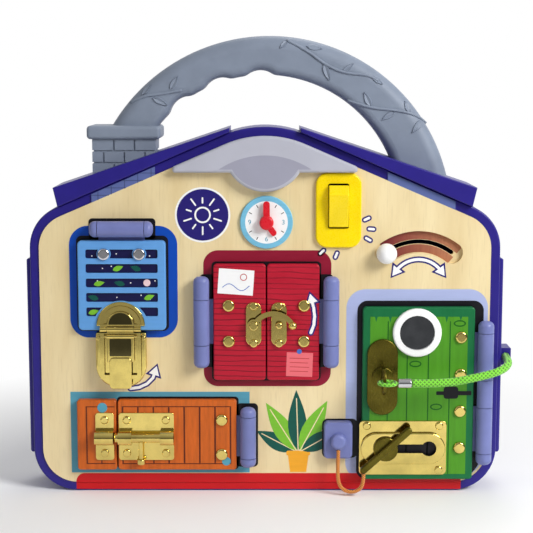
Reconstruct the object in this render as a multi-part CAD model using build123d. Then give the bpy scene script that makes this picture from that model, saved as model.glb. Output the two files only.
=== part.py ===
import os
from math import atan2, cos, degrees, hypot, radians, sin, tan

from build123d import *

os.makedirs("parts", exist_ok=True)

# Frame: X right, Z up, the front faces -Y. The origin is the middle of the base. Sizes in mm.

# Case outline
CASE_W = 320.0
CASE_FRONT = -24.0
CASE_BACK = 24.0
EAVE_Z = 189.4
PEAK_Z = 258.5
ROOF_ANGLE = degrees(atan2(PEAK_Z - EAVE_Z, CASE_W / 2))
CORNER_R_BASE = 30.0
CORNER_R_EAVE = 30.0
CORNER_R_PEAK = 75.0
WALL = 3.0
RIM = 6.5
LEDGE_W = 4.0
LEDGE_T = 3.0
CASE_EDGE_R = 3.0
RIM_EDGE_R = 1.2

# Clearances
FIT = 0.1
GAP = 0.3
RUN = 0.06

# Front board
BOARD_T = 6.0
BOARD_PROUD = 1.0
BOARD_FRONT = CASE_FRONT - BOARD_PROUD
BOARD_BACK = BOARD_FRONT + BOARD_T

# Case screws and posts
POST_R = 5.0
SCREW_R = 1.5
SCREW_HEAD_R = 3.0
SCREW_HEAD_T = 2.0
SCREW_SEAT_Y = -8.0
SCREW_BITE = 3.5
POST_X_WALL = CASE_W / 2 - 20.0
POST_Z_LOW = 34.0
POST_Z_HIGH = 150.0
POST_X_ROOF = 0.234375 * CASE_W
POST_Z_ROOF = 205.0

# Battery bay in the rear wall
BAY_W = 44.0
BAY_H = 24.0
BAY_Z = 80.0
BAY_DEPTH = 12.0
BAY_LEDGE = 2.0
BAY_SCREW_LAND = 9.0
COVER_T = 2.4
COVER_SCREW_R = 1.2
COVER_SCREW_HEAD_R = 2.2
COVER_SCREW_L = 7.0

# Roof plates, rails, feet
ROOF_PLATE_FRONT = -28.0
ROOF_RIDGE_X = 24.0
ROOF_EAVE_X = CASE_W / 2 - 20.0
ROOF_FLARE = 3.0
ROOF_T_RIDGE = 3.0
ROOF_T_EAVE = 14.0
RAIL_T = 3.5
RAIL_LOW = 26.0
RAIL_HIGH = 162.0
RAIL_HALF_DEPTH = 18.0
FOOT_T = 1.0

# Handle and chimney
HANDLE_X = 3.0
HANDLE_Z = 186.8
HANDLE_R_OUT = 125.7
HOLE_X = -0.2
HOLE_Z = 192.3
HOLE_R = 94.0
HANDLE_DEPTH = 26.0
HANDLE_R_OUTER_EDGE = 9.0
HANDLE_R_INNER_EDGE = 6.0
GRIP_CUSP_R = 9.0
GRIP_COUNT = 3
GRIP_R = 14.0
GRIP_BITE = 3.2
GRIP_PITCH_DEG = 18.0
GRIP_FIRST_DEG = 92.0
STACK_X = -95.7
STACK_W = 43.0
STACK_DEPTH = 32.0
CAP_W = 50.0
CAP_DEPTH = 38.0
CAP_LOW = 243.1
CAP_HIGH = 252.2
BRICK_H = 8.0
BRICK_W = 14.0
JOINT_W = 1.2
JOINT_DEEP = 0.9

# Lamp
LAMP_LAP = 0.5
LAMP_LINE_Z = 221.4
LAMP_HALF_W = 62.0
LAMP_END_R = 1.7
LAMP_T = 7.0
LAMP_WALL = 2.0
LAMP_EDGE_R = 1.8
LAMP_DISC_R = 27.5
LAMP_DISC_LOW = 208.5
MODULE_W = 40.0
MODULE_H = 8.0
MODULE_T = 1.2
LED_R = 1.5
LED_H = 2.4
LED_STEP = 14.0
WIRE_HOLE_R = 2.5

# Switch
SWITCH_X = 0.155 * CASE_W
SWITCH_W = 30.8
SWITCH_LOW = 170.4
SWITCH_HIGH = 221.0
SWITCH_T = 3.0
SWITCH_R = 8.0
ROCKER_Z = 198.7
ROCKER_W = 13.4
ROCKER_H = 28.2
ROCKER_SWING = 1.2
ROCKER_SIDE_GAP = 0.4
ROCKER_AXIS_Y = -23.0
ROCKER_PIN_R = 1.5
ROCKER_ROOT_Y = -19.0
ROCKER_RIDGE = 6.5
SWITCH_BODY_WALL = 1.6
SWITCH_BODY_BACK = -6.0

# Clock
CLOCK_X = 1.0
CLOCK_Z = 187.6
DIAL_R = 17.9
DIAL_T = 2.0
HAND_T = 1.5
HUB_R = 4.8
SPINDLE_R = 1.5
SPINDLE_HEAD_R = 3.0
SPINDLE_HEAD_T = 1.5
MINUTE_LEN = 14.5
MINUTE_W = 4.4
HOUR_LEN = 10.5
HOUR_W = 4.0
HOUR_ANGLE = -56.0
MINUTE_ANGLE = 90.0
HUB_CAP_T = 2.4

# Arc slide
ARC_X = 0.3265625 * CASE_W
ARC_Z = 136.5
ARC_R = 37.5
ARC_HALF_DEG = 36.5
CHANNEL_W = 15.0
CHANNEL_DEEP = 3.0
SLOT_W = 3.0
BALL_R = 7.0
BALL_STEM_R = 1.2
ARM_T = 2.4
ARM_W = 9.0
ARM_GAP = 0.5
PIVOT_R = 2.5
PIVOT_HEAD_R = 4.5
PIVOT_HEAD_T = 1.5

# Doors in common
DOOR_GAP = 0.6
DOOR_T = 5.0
DOOR_BACK = BOARD_FRONT - DOOR_GAP
DOOR_FRONT = DOOR_BACK - DOOR_T
DOOR_EDGE_R = 0.9
LEAF_T = 1.6
HINGE_R = 5.4
HINGE_Y = BOARD_FRONT - HINGE_R - GAP
HINGE_PIN_R = 1.6
HINGE_PIN_END = 2.2
HINGE_SPLIT = 0.4
HINGE_FOOT_W = 6.4
RIVET_R = 4.2
RIVET_H = 1.9
RIVET_SHANK_R = 1.5
RIVET_IN = 15.2

# Brass fittings in common
PLATE_T = 1.2
PIN_HEAD_R = 2.8
PIN_HEAD_H = 1.3
PIN_SHANK_R = 1.1
PIN_BITE = 3.0

# Window shutter, hinged along its top
WINDOW_X = -0.303125 * CASE_W
WINDOW_W = 59.5
WINDOW_LOW = 114.2
WINDOW_HIGH = 175.5
WINDOW_R = 3.0
WINDOW_AXIS_Z = 183.4
WINDOW_HINGE_L = 43.0
WINDOW_CAP_L = 5.5
WINDOW_RIVET_DX = 12.0
WINDOW_RIVET_Z = 166.4
SLAT_COUNT = 5
SLAT_PITCH = 9.9
SLAT_H = 6.2
SLAT_W = 49.0
SLAT_TOP = 169.6
SLAT_DEEP = 1.2

# Window latch
LATCH_X = WINDOW_X - 1.0
ROSE_R = 16.5
ROSE_FLAT_Z = 117.4
ARCH_R_OUT = 13.9
ARCH_R_IN = 11.4
ARCH_H = 1.6
MOON_R = 9.6
MOON_H = 2.2
FLAP_AXIS_Z = 115.4
FLAP_AXIS_Y = -34.0
FLAP_BARREL_R = 1.8
FLAP_PIN_R = 0.8
FLAP_W = 27.8
FLAP_LEG_W = 2.8
FLAP_T = 1.6
FLAP_LOW = 81.3
EAR_L = 4.6
LEVER_AXIS_Z = 110.6
LEVER_W = 18.4
LEVER_T = 2.4
LEVER_LOW = 93.2
LEVER_BARREL_R = 1.7
TAB_W = 15.0
TAB_LOW = 74.8
TAB_T = 1.6
LATCH_BASE_W = 34.4
LATCH_BASE_HIGH = 112.6
LATCH_BASE_LOW = 74.6
LATCH_BASE_H = 6.2
LATCH_BASE_R = 15.0
LATCH_RIVET_DX = 15.3
LATCH_RIVET_Z = 109.0
LATCH_RIVET_R = 1.6
LATCH_RIVET_H = 0.7

# Red double door
RED_X = 0.9
RED_LEAF_W = 35.6
RED_SPLIT = 0.8
RED_LOW = 79.5
RED_HIGH = 159.5
RED_R = 2.5
RED_AXIS_DX = 44.1
RED_HINGE_LOW = 88.4
RED_HINGE_L = 62.8
RED_CAP_L = 15.6
RED_RIVET_DX = 25.6
RED_RIVET_LOW = 106.6
RED_RIVET_HIGH = 131.2

# Swing hook
HOOK_PLATE_DX = 8.6
HOOK_PLATE_W = 10.6
HOOK_PLATE_LOW = 103.4
HOOK_PLATE_HIGH = 133.8
HOOK_PLATE_R = 5.2
HOOK_Z = 118.2
HOOK_PIN_DZ = 12.8
HOOK_BOSS_R = 3.4
HOOK_BOSS_H = 2.4
HOOK_T = 1.6
HOOK_EYE_R = 4.4
HOOK_ARM_W = 3.4
HOOK_REACH = 26.6
HOOK_RISE = 8.4
HOOK_BALL_R = 2.9
HOOK_PIVOT_R = 1.6
HOOK_PIVOT_HEAD_R = 3.0
HOOK_PIVOT_HEAD_T = 1.0
STUD_R = 2.4
STUD_H = 4.4

# Orange door and its barrel bolt
ORANGE_LEFT = -0.315625 * CASE_W
ORANGE_RIGHT = -19.6
ORANGE_LOW = 16.5
ORANGE_HIGH = 65.6
ORANGE_R = 2.0
ORANGE_AXIS_X = -11.6
ORANGE_HINGE_LOW = 18.6
ORANGE_HINGE_L = 42.0
ORANGE_CAP_L = 6.2
ORANGE_RIVET_X = -29.7
ORANGE_RIVET_LOW = 27.6
ORANGE_RIVET_HIGH = 51.8
PANEL_RIGHT = ORANGE_LEFT - 1.0
PANEL_LEFT = PANEL_RIGHT - 27.0
BOLT_Z = 40.4
BOLT_PLATE_LEFT = ORANGE_LEFT + 0.6
BOLT_PLATE_W = 38.0
BOLT_PLATE_H = 33.4
BOLT_PLATE_R = 2.0
BOLT_R = 3.2
BOLT_LIFT = 0.5
BOLT_BARREL_R = 5.0
BOLT_RUN = 0.08
BOLT_COLLAR_L = 9.2
BOLT_TIP_X = ORANGE_LEFT - 2.1
BOLT_L = 37.2
BOLT_KNOB_X = ORANGE_LEFT + 16.2
BOLT_KNOB_STEM_R = 1.6
BOLT_KNOB_DROP = 14.6
BOLT_KNOB_R = 3.0
BOLT_KNOB_L = 4.0
STRIKE_W = 12.8
STRIKE_RIGHT = ORANGE_LEFT - 2.6
STRIKE_BORE_GAP = 0.4
BOLT_PIN_DX = 13.4
BOLT_PIN_DZ = 11.6

# Green door
GREEN_AXIS_X = CASE_W / 2 - 9.6
GREEN_LEFT = 0.208125 * CASE_W
GREEN_RIGHT = GREEN_AXIS_X - 7.6
GREEN_LOW = 9.8
GREEN_HIGH = 130.0
GREEN_R = 2.5
GREEN_HINGE_LOW = 20.4
GREEN_HINGE_L = 100.2
GREEN_CAP_L = 8.0
GREEN_MID_L = 19.0
GREEN_RIVET_X = GREEN_RIGHT - 9.2
GREEN_RIVET_LOW = 32.3
GREEN_RIVET_STEP = 25.7
GREEN_RIVET_COUNT = 4
MIRROR_X = 0.323125 * CASE_W
MIRROR_Z = 112.8
MIRROR_RING_R = 16.6
MIRROR_R = 11.9
MIRROR_RING_H = 3.0
MIRROR_T = 1.4
MIRROR_SEAT = 0.8

# Key lock
LOCK_X = GREEN_LEFT + 13.6
LOCK_Z = 82.0
ESC_W = 20.8
ESC_H = 52.6
ESC_T = 2.0
ESC_EDGE_R = 0.7
PLUG_R = 5.4
PLUG_FACE_R = 7.3
PLUG_PROUD = 1.8
CAM_W = 5.0
CAM_LEN = 12.0
CAM_T = 1.8
CAM_SLOT_W = 8.4
CAM_SLOT_H = 27.0
CAM_LIP = 2.6
CAM_CHAMBER_R = 14.6
KEY_T = 2.2
KEY_BLADE_H = 6.0
KEY_BLADE_L = 7.0
KEY_SLOT_GAP = 0.15
KEY_BOW_Y = -43.6
KEY_BOW_R = 8.2
KEY_BOW_HALF_H = 9.4
KEY_HOLE_Y = -46.6
KEY_HOLE_R = 3.0
LOOP_X = LOCK_X + 1.8
LOOP_Y = -51.2
LOOP_R = 5.6
LOOP_TUBE_R = 1.3
SLEEVE_L = 9.0
SLEEVE_R = 3.2
SLEEVE_GAP = 0.05
CORD_D = 5.4
CORD_END_GAP = 0.3
BOSS_X_OUT = CASE_W / 2 + RAIL_T + 7.5
BOSS_LOW = 86.4
BOSS_HIGH = 98.4
BOSS_FRONT = -12.0
BOSS_BACK = 4.0
BOSS_BORE_GAP = 0.2
BOSS_BORE_DEEP = 8.0

# Door chain
CHAIN_PLATE_LEFT = GREEN_LEFT - 2.0
CHAIN_PLATE_W = GREEN_RIVET_X - RIVET_R - 4.8 - CHAIN_PLATE_LEFT
CHAIN_PLATE_H = 38.0
CHAIN_PLATE_R = 3.0
CHAIN_Z = 32.4
CHAIN_DISH_W = CHAIN_PLATE_W - 2.0
CHAIN_DISH_H = 22.0
CHAIN_DISH_RISE = 3.6
CHAIN_SKIN = 1.0
CHAIN_START_X = CHAIN_PLATE_LEFT + 18.0
CHAIN_END_X = CHAIN_PLATE_LEFT + CHAIN_PLATE_W - 12.3
CHAIN_SLOT_W = 6.2
CHAIN_HOLE_R = 5.2
CHAIN_PIN_DX = CHAIN_PLATE_W / 2 - 1.6
CHAIN_PIN_DZ = 15.6
SLIDER_STEM_GAP = 0.4
SLIDER_HEAD_R = 4.4
SLIDER_HEAD_T = 1.2
SLIDER_LIFT = 0.4
SLIDER_DISC_R = 8.4
SLIDER_DISC_T = 2.4
PADDLE_L = 45.5
PADDLE_W = 4.6
PADDLE_T = 4.0
PADDLE_ANGLE = 42.0
CHAIN_BLOCK_X = 0.1571875 * CASE_W
CHAIN_BLOCK_W = 19.6
CHAIN_BLOCK_LOW = 24.6
CHAIN_BLOCK_HIGH = 50.2
CHAIN_BLOCK_T = 7.0
CHAIN_BLOCK_R = 3.0
CHAIN_KNOB_Z = 37.4
CHAIN_KNOB_R = 5.4
CHAIN_KNOB_H = 6.0
CHAIN_CORD_D = 2.6
CHAIN_CORD_LOW = 1.6

ROOF_SLOPE = tan(radians(ROOF_ANGLE))


def place(x, z, sketch):
    """Move a front-view sketch to X, Z."""
    return Pos(x, z) * sketch


def slab(sketch, back, front):
    """Extrude a front-view sketch from depth back to depth front."""
    return extrude(Plane.XZ.offset(-back) * sketch, amount=back - front)


def rod_y(x, z, back, front, radius):
    return slab(place(x, z, Circle(radius)), back, front)


def rod_z(x, y, low, high, radius):
    return Pos(x, y, (low + high) / 2) * Cylinder(radius, high - low)


def rod_x(y, z, left, right, radius):
    return Pos((left + right) / 2, y, z) * Rot(0, 90, 0) * Cylinder(radius, right - left)


def block(left, right, back, front, low, high):
    centre = Pos((left + right) / 2, (back + front) / 2, (low + high) / 2)
    return centre * Box(right - left, back - front, high - low)


def front_edges(solid, depth):
    """Edges lying in the plane at one depth."""
    return solid.edges().filter_by_position(Axis.Y, depth - 0.01, depth + 0.01)


def soften(solid, depth, radius):
    return fillet(front_edges(solid, depth), radius)


def panel(left, right, low, high, radius):
    """Front-view rounded rectangle."""
    shape = RectangleRounded(right - left, high - low, radius)
    return place((left + right) / 2, (low + high) / 2, shape)


def area(points):
    return make_face(Polyline(*points, close=True))


def roof_z(x, inset=0.0):
    return EAVE_Z + (CASE_W / 2 - abs(x)) * ROOF_SLOPE - inset / cos(radians(ROOF_ANGLE))


def roof_top(x):
    """Height of the upper face of a roof plate."""
    share = (abs(x) - ROOF_RIDGE_X) / (ROOF_EAVE_X - ROOF_RIDGE_X)
    return roof_z(x) + ROOF_T_RIDGE + (ROOF_T_EAVE - ROOF_T_RIDGE) * share


def house(inset):
    """Front-view house outline, moved inward by inset."""
    half = CASE_W / 2 - inset
    eave = roof_z(half, inset)
    peak = roof_z(0, inset)
    face = area([(-half, inset), (half, inset), (half, eave), (0, peak), (-half, eave)])
    face = fillet(face.vertices().sort_by(Axis.Y)[:2], CORNER_R_BASE - inset)
    face = fillet(face.vertices().sort_by(Axis.Y)[-1], CORNER_R_PEAK - inset)
    corners = [v for v in face.vertices() if abs(abs(v.X) - half) < 0.01 and v.Y > EAVE_Z - 15]
    return fillet(corners, CORNER_R_EAVE - inset)


def pin(x, z, seat, tip, head_r, head_h, shank_r):
    """Domed rivet or screw with its head on the seat."""
    head = rod_y(x, z, seat, seat - head_h, head_r)
    head = fillet(head.edges().sort_by(Axis.Y)[0], head_h * 0.75)
    return head + rod_y(x, z, tip, seat, shank_r)


def rivet(x, z):
    return pin(x, z, DOOR_FRONT, DOOR_BACK, RIVET_R, RIVET_H, RIVET_SHANK_R)


def small_pin(x, z, seat):
    return pin(x, z, seat, seat + PLATE_T + PIN_BITE, PIN_HEAD_R, PIN_HEAD_H, PIN_SHANK_R)


def pin_hole(x, z, seat):
    return rod_y(x, z, seat + PLATE_T + PIN_BITE + FIT, seat - 1, PIN_SHANK_R + FIT)


def rivet_hole(x, z):
    return rod_y(x, z, DOOR_BACK + 1, DOOR_FRONT - 1, RIVET_SHANK_R + FIT)


# Hinges are drawn upright at X 0 with the door toward -X, then moved into place.

def knuckle(low, high, length):
    body = rod_z(0, HINGE_Y, low, high, HINGE_R)
    if low == 0:
        body = fillet(body.edges().sort_by(Axis.Z)[0], HINGE_R * 0.7)
    if high == length:
        body = fillet(body.edges().sort_by(Axis.Z)[-1], HINGE_R * 0.7)
    return body


def pin_bore(length):
    end = HINGE_PIN_END - FIT
    return rod_z(0, HINGE_Y, end, length - end, HINGE_PIN_R + RUN)


def fixed_knuckle(low, high, length):
    inner_low = low + (HINGE_R * 0.5 if low == 0 else 0)
    inner_high = high - (HINGE_R * 0.5 if high == length else 0)
    foot = block(-HINGE_FOOT_W / 2, HINGE_FOOT_W / 2, BOARD_FRONT, HINGE_Y, inner_low, inner_high)
    return knuckle(low, high, length) + foot - pin_bore(length)


def leaf_plate(low, high, reach, grow=0.0):
    return block(-reach - grow, 0, DOOR_BACK, DOOR_BACK - LEAF_T - grow, low - grow, high + grow)


def moving_knuckle(low, high, length, reach):
    return knuckle(low, high, length) + leaf_plate(low, high, reach) - pin_bore(length)


def hinge_pin(length):
    return rod_z(0, HINGE_Y, HINGE_PIN_END, length - HINGE_PIN_END, HINGE_PIN_R)


def set_upright(x, low, side):
    """Place an upright hinge; side 1 keeps the door at -X, side -1 puts it at +X."""
    if side > 0:
        return lambda solid: Pos(x, 0, low) * solid
    return lambda solid: Pos(x, 0, low) * solid.mirror(Plane.YZ)


def set_level(right, axis_z):
    """Place a hinge along X with the door below it; its length runs left from right."""
    return lambda solid: Pos(right, 0, axis_z) * Rot(0, -90, 0) * solid


# Case

rear_shell = slab(house(0), CASE_BACK, CASE_FRONT)
rear_shell = soften(rear_shell, CASE_BACK, CASE_EDGE_R)
rear_shell = soften(rear_shell, CASE_FRONT, RIM_EDGE_R)
ledge_back = BOARD_BACK + LEDGE_T
rear_shell -= slab(house(RIM - FIT), BOARD_BACK, CASE_FRONT - 1)
rear_shell -= slab(house(RIM + LEDGE_W), ledge_back, BOARD_BACK)
rear_shell -= slab(house(WALL), CASE_BACK - WALL, ledge_back)

post_places = []
for side in (-1, 1):
    post_places.append((side * POST_X_WALL, POST_Z_LOW))
    post_places.append((side * POST_X_WALL, POST_Z_HIGH))
    post_places.append((side * POST_X_ROOF, POST_Z_ROOF))
for post_x, post_z in post_places:
    rear_shell += rod_y(post_x, post_z, CASE_BACK - WALL, BOARD_BACK, POST_R)
for post_x, post_z in post_places:
    rear_shell -= rod_y(post_x, post_z, CASE_BACK + 1, SCREW_SEAT_Y, SCREW_HEAD_R + GAP)
    rear_shell -= rod_y(post_x, post_z, SCREW_SEAT_Y, BOARD_BACK - 1, SCREW_R + FIT)

bay_floor = CASE_BACK - BAY_DEPTH
bay_tub = panel(-BAY_W / 2 - 2, BAY_W / 2 + 2, BAY_Z - BAY_H / 2 - 2, BAY_Z + BAY_H / 2 + 2, 2)
cover_shape = panel(-BAY_W / 2, BAY_W / 2, BAY_Z - BAY_H / 2, BAY_Z + BAY_H / 2, 2)
cover_seat_y = CASE_BACK - COVER_T
bay_left = -BAY_W / 2 + BAY_LEDGE
bay_right = BAY_W / 2 - BAY_SCREW_LAND
bay_low = BAY_Z - BAY_H / 2 + BAY_LEDGE
bay_high = BAY_Z + BAY_H / 2 - BAY_LEDGE
cover_screw_x = BAY_W / 2 - BAY_SCREW_LAND / 2
cover_screw_tip = CASE_BACK - COVER_SCREW_L
rear_shell += slab(bay_tub, CASE_BACK - WALL, bay_floor - WALL)
rear_shell -= slab(offset(cover_shape, FIT), CASE_BACK + 1, cover_seat_y)
rear_shell -= block(bay_left, bay_right, CASE_BACK + 1, bay_floor, bay_low, bay_high)
rear_shell -= rod_y(cover_screw_x, BAY_Z, CASE_BACK, cover_screw_tip - FIT, COVER_SCREW_R + FIT)

battery_cover = slab(cover_shape, CASE_BACK, cover_seat_y)
battery_cover -= rod_y(cover_screw_x, BAY_Z, CASE_BACK + 1, cover_seat_y - 1, COVER_SCREW_R + FIT)
cover_head_seat = CASE_BACK - 1.2
battery_cover -= rod_y(cover_screw_x, BAY_Z, CASE_BACK + 1, cover_head_seat, COVER_SCREW_HEAD_R + GAP)

screw_list = []
for post_x, post_z in post_places:
    shank = rod_y(post_x, post_z, SCREW_SEAT_Y, BOARD_BACK - SCREW_BITE, SCREW_R)
    head = rod_y(post_x, post_z, SCREW_SEAT_Y + SCREW_HEAD_T, SCREW_SEAT_Y, SCREW_HEAD_R)
    screw_list.append(head + shank)
cover_screw = rod_y(cover_screw_x, BAY_Z, CASE_BACK - 0.2, cover_head_seat, COVER_SCREW_HEAD_R)
cover_screw += rod_y(cover_screw_x, BAY_Z, cover_head_seat, cover_screw_tip, COVER_SCREW_R)
screw_list.append(cover_screw)
case_screws = Compound(children=screw_list)

ridge_low = roof_z(ROOF_RIDGE_X)
eave_low = roof_z(ROOF_EAVE_X)
plate_points = [
    (ROOF_RIDGE_X, ridge_low),
    (ROOF_EAVE_X, eave_low),
    (ROOF_EAVE_X + ROOF_FLARE, roof_top(ROOF_EAVE_X + ROOF_FLARE)),
    (ROOF_RIDGE_X, roof_top(ROOF_RIDGE_X)),
]
roof_right = slab(area(plate_points), CASE_BACK, ROOF_PLATE_FRONT)
roof_right = fillet(front_edges(roof_right, ROOF_PLATE_FRONT), 0.8)
roof_left = roof_right.mirror(Plane.YZ)

rail_shape = block(CASE_W / 2, CASE_W / 2 + RAIL_T, RAIL_HALF_DEPTH, -RAIL_HALF_DEPTH, RAIL_LOW, RAIL_HIGH)
rail_shape = fillet(rail_shape.faces().sort_by(Axis.X)[-1].edges(), 2.0)
rail_left = rail_shape.mirror(Plane.YZ)
cord_x = (CASE_W / 2 + RAIL_T + BOSS_X_OUT) / 2
cord_z = (BOSS_LOW + BOSS_HIGH) / 2
cord_boss = block(CASE_W / 2 + RAIL_T - 1, BOSS_X_OUT, BOSS_BACK, BOSS_FRONT, BOSS_LOW, BOSS_HIGH)
cord_boss = fillet(cord_boss.faces().sort_by(Axis.X)[-1].edges(), 0.8)
cord_boss -= rod_y(cord_x, cord_z, BOSS_FRONT + BOSS_BORE_DEEP, BOSS_FRONT - 1, CORD_D / 2 + BOSS_BORE_GAP)
side_rails = Compound(children=[rail_left, rail_shape + cord_boss])

stack_left = STACK_X - STACK_W / 2
stack_right = STACK_X + STACK_W / 2


def rim_foot(left, right):
    low_line = [(left, roof_z(left, RIM)), (right, roof_z(right, RIM))]
    high_line = [(right, roof_z(right, RIM_EDGE_R)), (left, roof_z(left, RIM_EDGE_R))]
    return slab(area(low_line + high_line), CASE_FRONT, CASE_FRONT - FOOT_T)


foot_right_in = HOLE_X + HOLE_R * cos(radians(28))
foot_right_out = HANDLE_X + HANDLE_R_OUT
roof_feet = Compound(children=[rim_foot(stack_left, stack_right), rim_foot(foot_right_in, foot_right_out)])

low_cut = EAVE_Z / 2
below_left_roof = area([
    (-ROOF_RIDGE_X, low_cut),
    (-ROOF_RIDGE_X, roof_top(ROOF_RIDGE_X)),
    (-CASE_W / 2, roof_top(CASE_W / 2)),
    (-CASE_W / 2, low_cut),
])
below_right_roof = area([
    (ROOF_RIDGE_X, low_cut),
    (ROOF_RIDGE_X, roof_top(ROOF_RIDGE_X)),
    (CASE_W / 2, roof_top(CASE_W / 2)),
    (CASE_W / 2, low_cut),
])

chimney = block(stack_left, stack_right, STACK_DEPTH / 2, -STACK_DEPTH / 2, 190, CAP_LOW)
course_z = CAP_LOW - BRICK_H
course = 0
while course_z > 205:
    groove = block(stack_left - 1, stack_right + 1, STACK_DEPTH / 2 + 1, -STACK_DEPTH / 2 - 1,
                   course_z - JOINT_W / 2, course_z + JOINT_W / 2)
    core = block(stack_left + JOINT_DEEP, stack_right - JOINT_DEEP, STACK_DEPTH / 2 - JOINT_DEEP,
                 -STACK_DEPTH / 2 + JOINT_DEEP, course_z - 1, course_z + 1)
    chimney -= groove - core
    joint_x = stack_left + BRICK_W * (0.55 if course % 2 else 1.05)
    while joint_x < stack_right - 2:
        chimney -= block(joint_x - JOINT_W / 2, joint_x + JOINT_W / 2, -STACK_DEPTH / 2 + JOINT_DEEP,
                         -STACK_DEPTH / 2 - 1, course_z, course_z + BRICK_H - JOINT_W / 2)
        joint_x += BRICK_W
    course_z -= BRICK_H
    course += 1
chimney -= slab(below_left_roof, CASE_BACK, ROOF_PLATE_FRONT)
chimney_cap = block(STACK_X - CAP_W / 2, STACK_X + CAP_W / 2, CAP_DEPTH / 2, -CAP_DEPTH / 2, CAP_LOW, CAP_HIGH)
chimney_cap = fillet(chimney_cap.edges(), 2.5)
chimney += chimney_cap

handle_ring = place(HANDLE_X, HANDLE_Z, Circle(HANDLE_R_OUT)) - place(HOLE_X, HOLE_Z, Circle(HOLE_R))
for grip in range(GRIP_COUNT):
    grip_angle = radians(GRIP_FIRST_DEG + grip * GRIP_PITCH_DEG)
    grip_reach = HOLE_R + GRIP_BITE - GRIP_R
    grip_x = HOLE_X + grip_reach * cos(grip_angle)
    grip_z = HOLE_Z + grip_reach * sin(grip_angle)
    handle_ring -= place(grip_x, grip_z, Circle(GRIP_R))
handle_ring &= place(HANDLE_X, HOLE_Z + HANDLE_R_OUT, Rectangle(3 * HANDLE_R_OUT, 2 * HANDLE_R_OUT))
handle = slab(handle_ring, HANDLE_DEPTH / 2, -HANDLE_DEPTH / 2)


def handle_reach(edge):
    """Distance of an edge's middle from the handle's centre in front view."""
    middle = edge.center()
    return hypot(middle.X - HANDLE_X, middle.Z - HANDLE_Z)


def handle_rims():
    sides = front_edges(handle, HANDLE_DEPTH / 2) + front_edges(handle, -HANDLE_DEPTH / 2)
    return [e for e in sides if e.center().Z > HOLE_Z + 1]


cusps = [e for e in handle.edges().filter_by(Axis.Y) if e.center().Z > HOLE_Z + GRIP_R]
handle = fillet(cusps, GRIP_CUSP_R)
handle = fillet([e for e in handle_rims() if handle_reach(e) > HANDLE_R_OUT - 1], HANDLE_R_OUTER_EDGE)
outer_land = HANDLE_R_OUT - HANDLE_R_OUTER_EDGE
handle = fillet([e for e in handle_rims() if handle_reach(e) < outer_land - 1], HANDLE_R_INNER_EDGE)
handle -= slab(below_right_roof, CASE_BACK, ROOF_PLATE_FRONT)
handle -= block(-CASE_W, -ROOF_RIDGE_X, CASE_BACK, ROOF_PLATE_FRONT, low_cut, CAP_HIGH)

# Lamp

lamp_band = place(0, (LAMP_LINE_Z + PEAK_Z) / 2, Rectangle(2 * LAMP_HALF_W, PEAK_Z - LAMP_LINE_Z))
lamp_gable = house(RIM - LAMP_LAP) & lamp_band
ends = lamp_gable.vertices().sort_by(Axis.X)
lamp_gable = fillet(ends[:2] + ends[-2:], LAMP_END_R)
disc_z = LAMP_DISC_LOW + LAMP_DISC_R
lamp_disc = place(0, disc_z, Circle(LAMP_DISC_R)) & place(0, LAMP_LINE_Z - 9, Rectangle(80, 20))
lamp_shape = lamp_gable + lamp_disc
lamp_cover = slab(lamp_shape, BOARD_FRONT, BOARD_FRONT - LAMP_T)
lamp_cover = soften(lamp_cover, BOARD_FRONT - LAMP_T, LAMP_EDGE_R)
lamp_cover -= slab(offset(lamp_shape, -LAMP_WALL), BOARD_FRONT, BOARD_FRONT - LAMP_T + LAMP_WALL)
module_front = BOARD_FRONT - MODULE_T
lamp_module = slab(place(0, disc_z, Rectangle(MODULE_W, MODULE_H)), BOARD_FRONT, module_front)
for led in (-1, 0, 1):
    diode = rod_y(led * LED_STEP, disc_z, module_front, module_front - LED_H, LED_R)
    lamp_module += fillet(diode.edges().sort_by(Axis.Y)[0], LED_R * 0.8)

# Switch

opening_w = ROCKER_W + 2 * ROCKER_SIDE_GAP
opening_h = ROCKER_H + 2 * ROCKER_SWING
body_w = opening_w + 2 * SWITCH_BODY_WALL
body_h = opening_h + 2 * SWITCH_BODY_WALL
plate_shape = panel(SWITCH_X - SWITCH_W / 2, SWITCH_X + SWITCH_W / 2, SWITCH_LOW, SWITCH_HIGH, SWITCH_R)
switch_plate = slab(plate_shape, BOARD_FRONT, BOARD_FRONT - SWITCH_T)
switch_plate = soften(switch_plate, BOARD_FRONT - SWITCH_T, 1.2)
rocker_opening = place(SWITCH_X, ROCKER_Z, RectangleRounded(opening_w, opening_h, 1.5))
switch_plate -= slab(rocker_opening, BOARD_FRONT + 1, BOARD_FRONT - SWITCH_T - 1)
body_shape = place(SWITCH_X, ROCKER_Z, Rectangle(body_w, body_h))
switch_body = slab(body_shape, SWITCH_BODY_BACK, BOARD_FRONT)
switch_body -= slab(rocker_opening, SWITCH_BODY_BACK - SWITCH_BODY_WALL, BOARD_FRONT - 1)
switch_body -= rod_x(ROCKER_AXIS_Y, ROCKER_Z, SWITCH_X - body_w, SWITCH_X + body_w, ROCKER_PIN_R + RUN)

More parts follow.
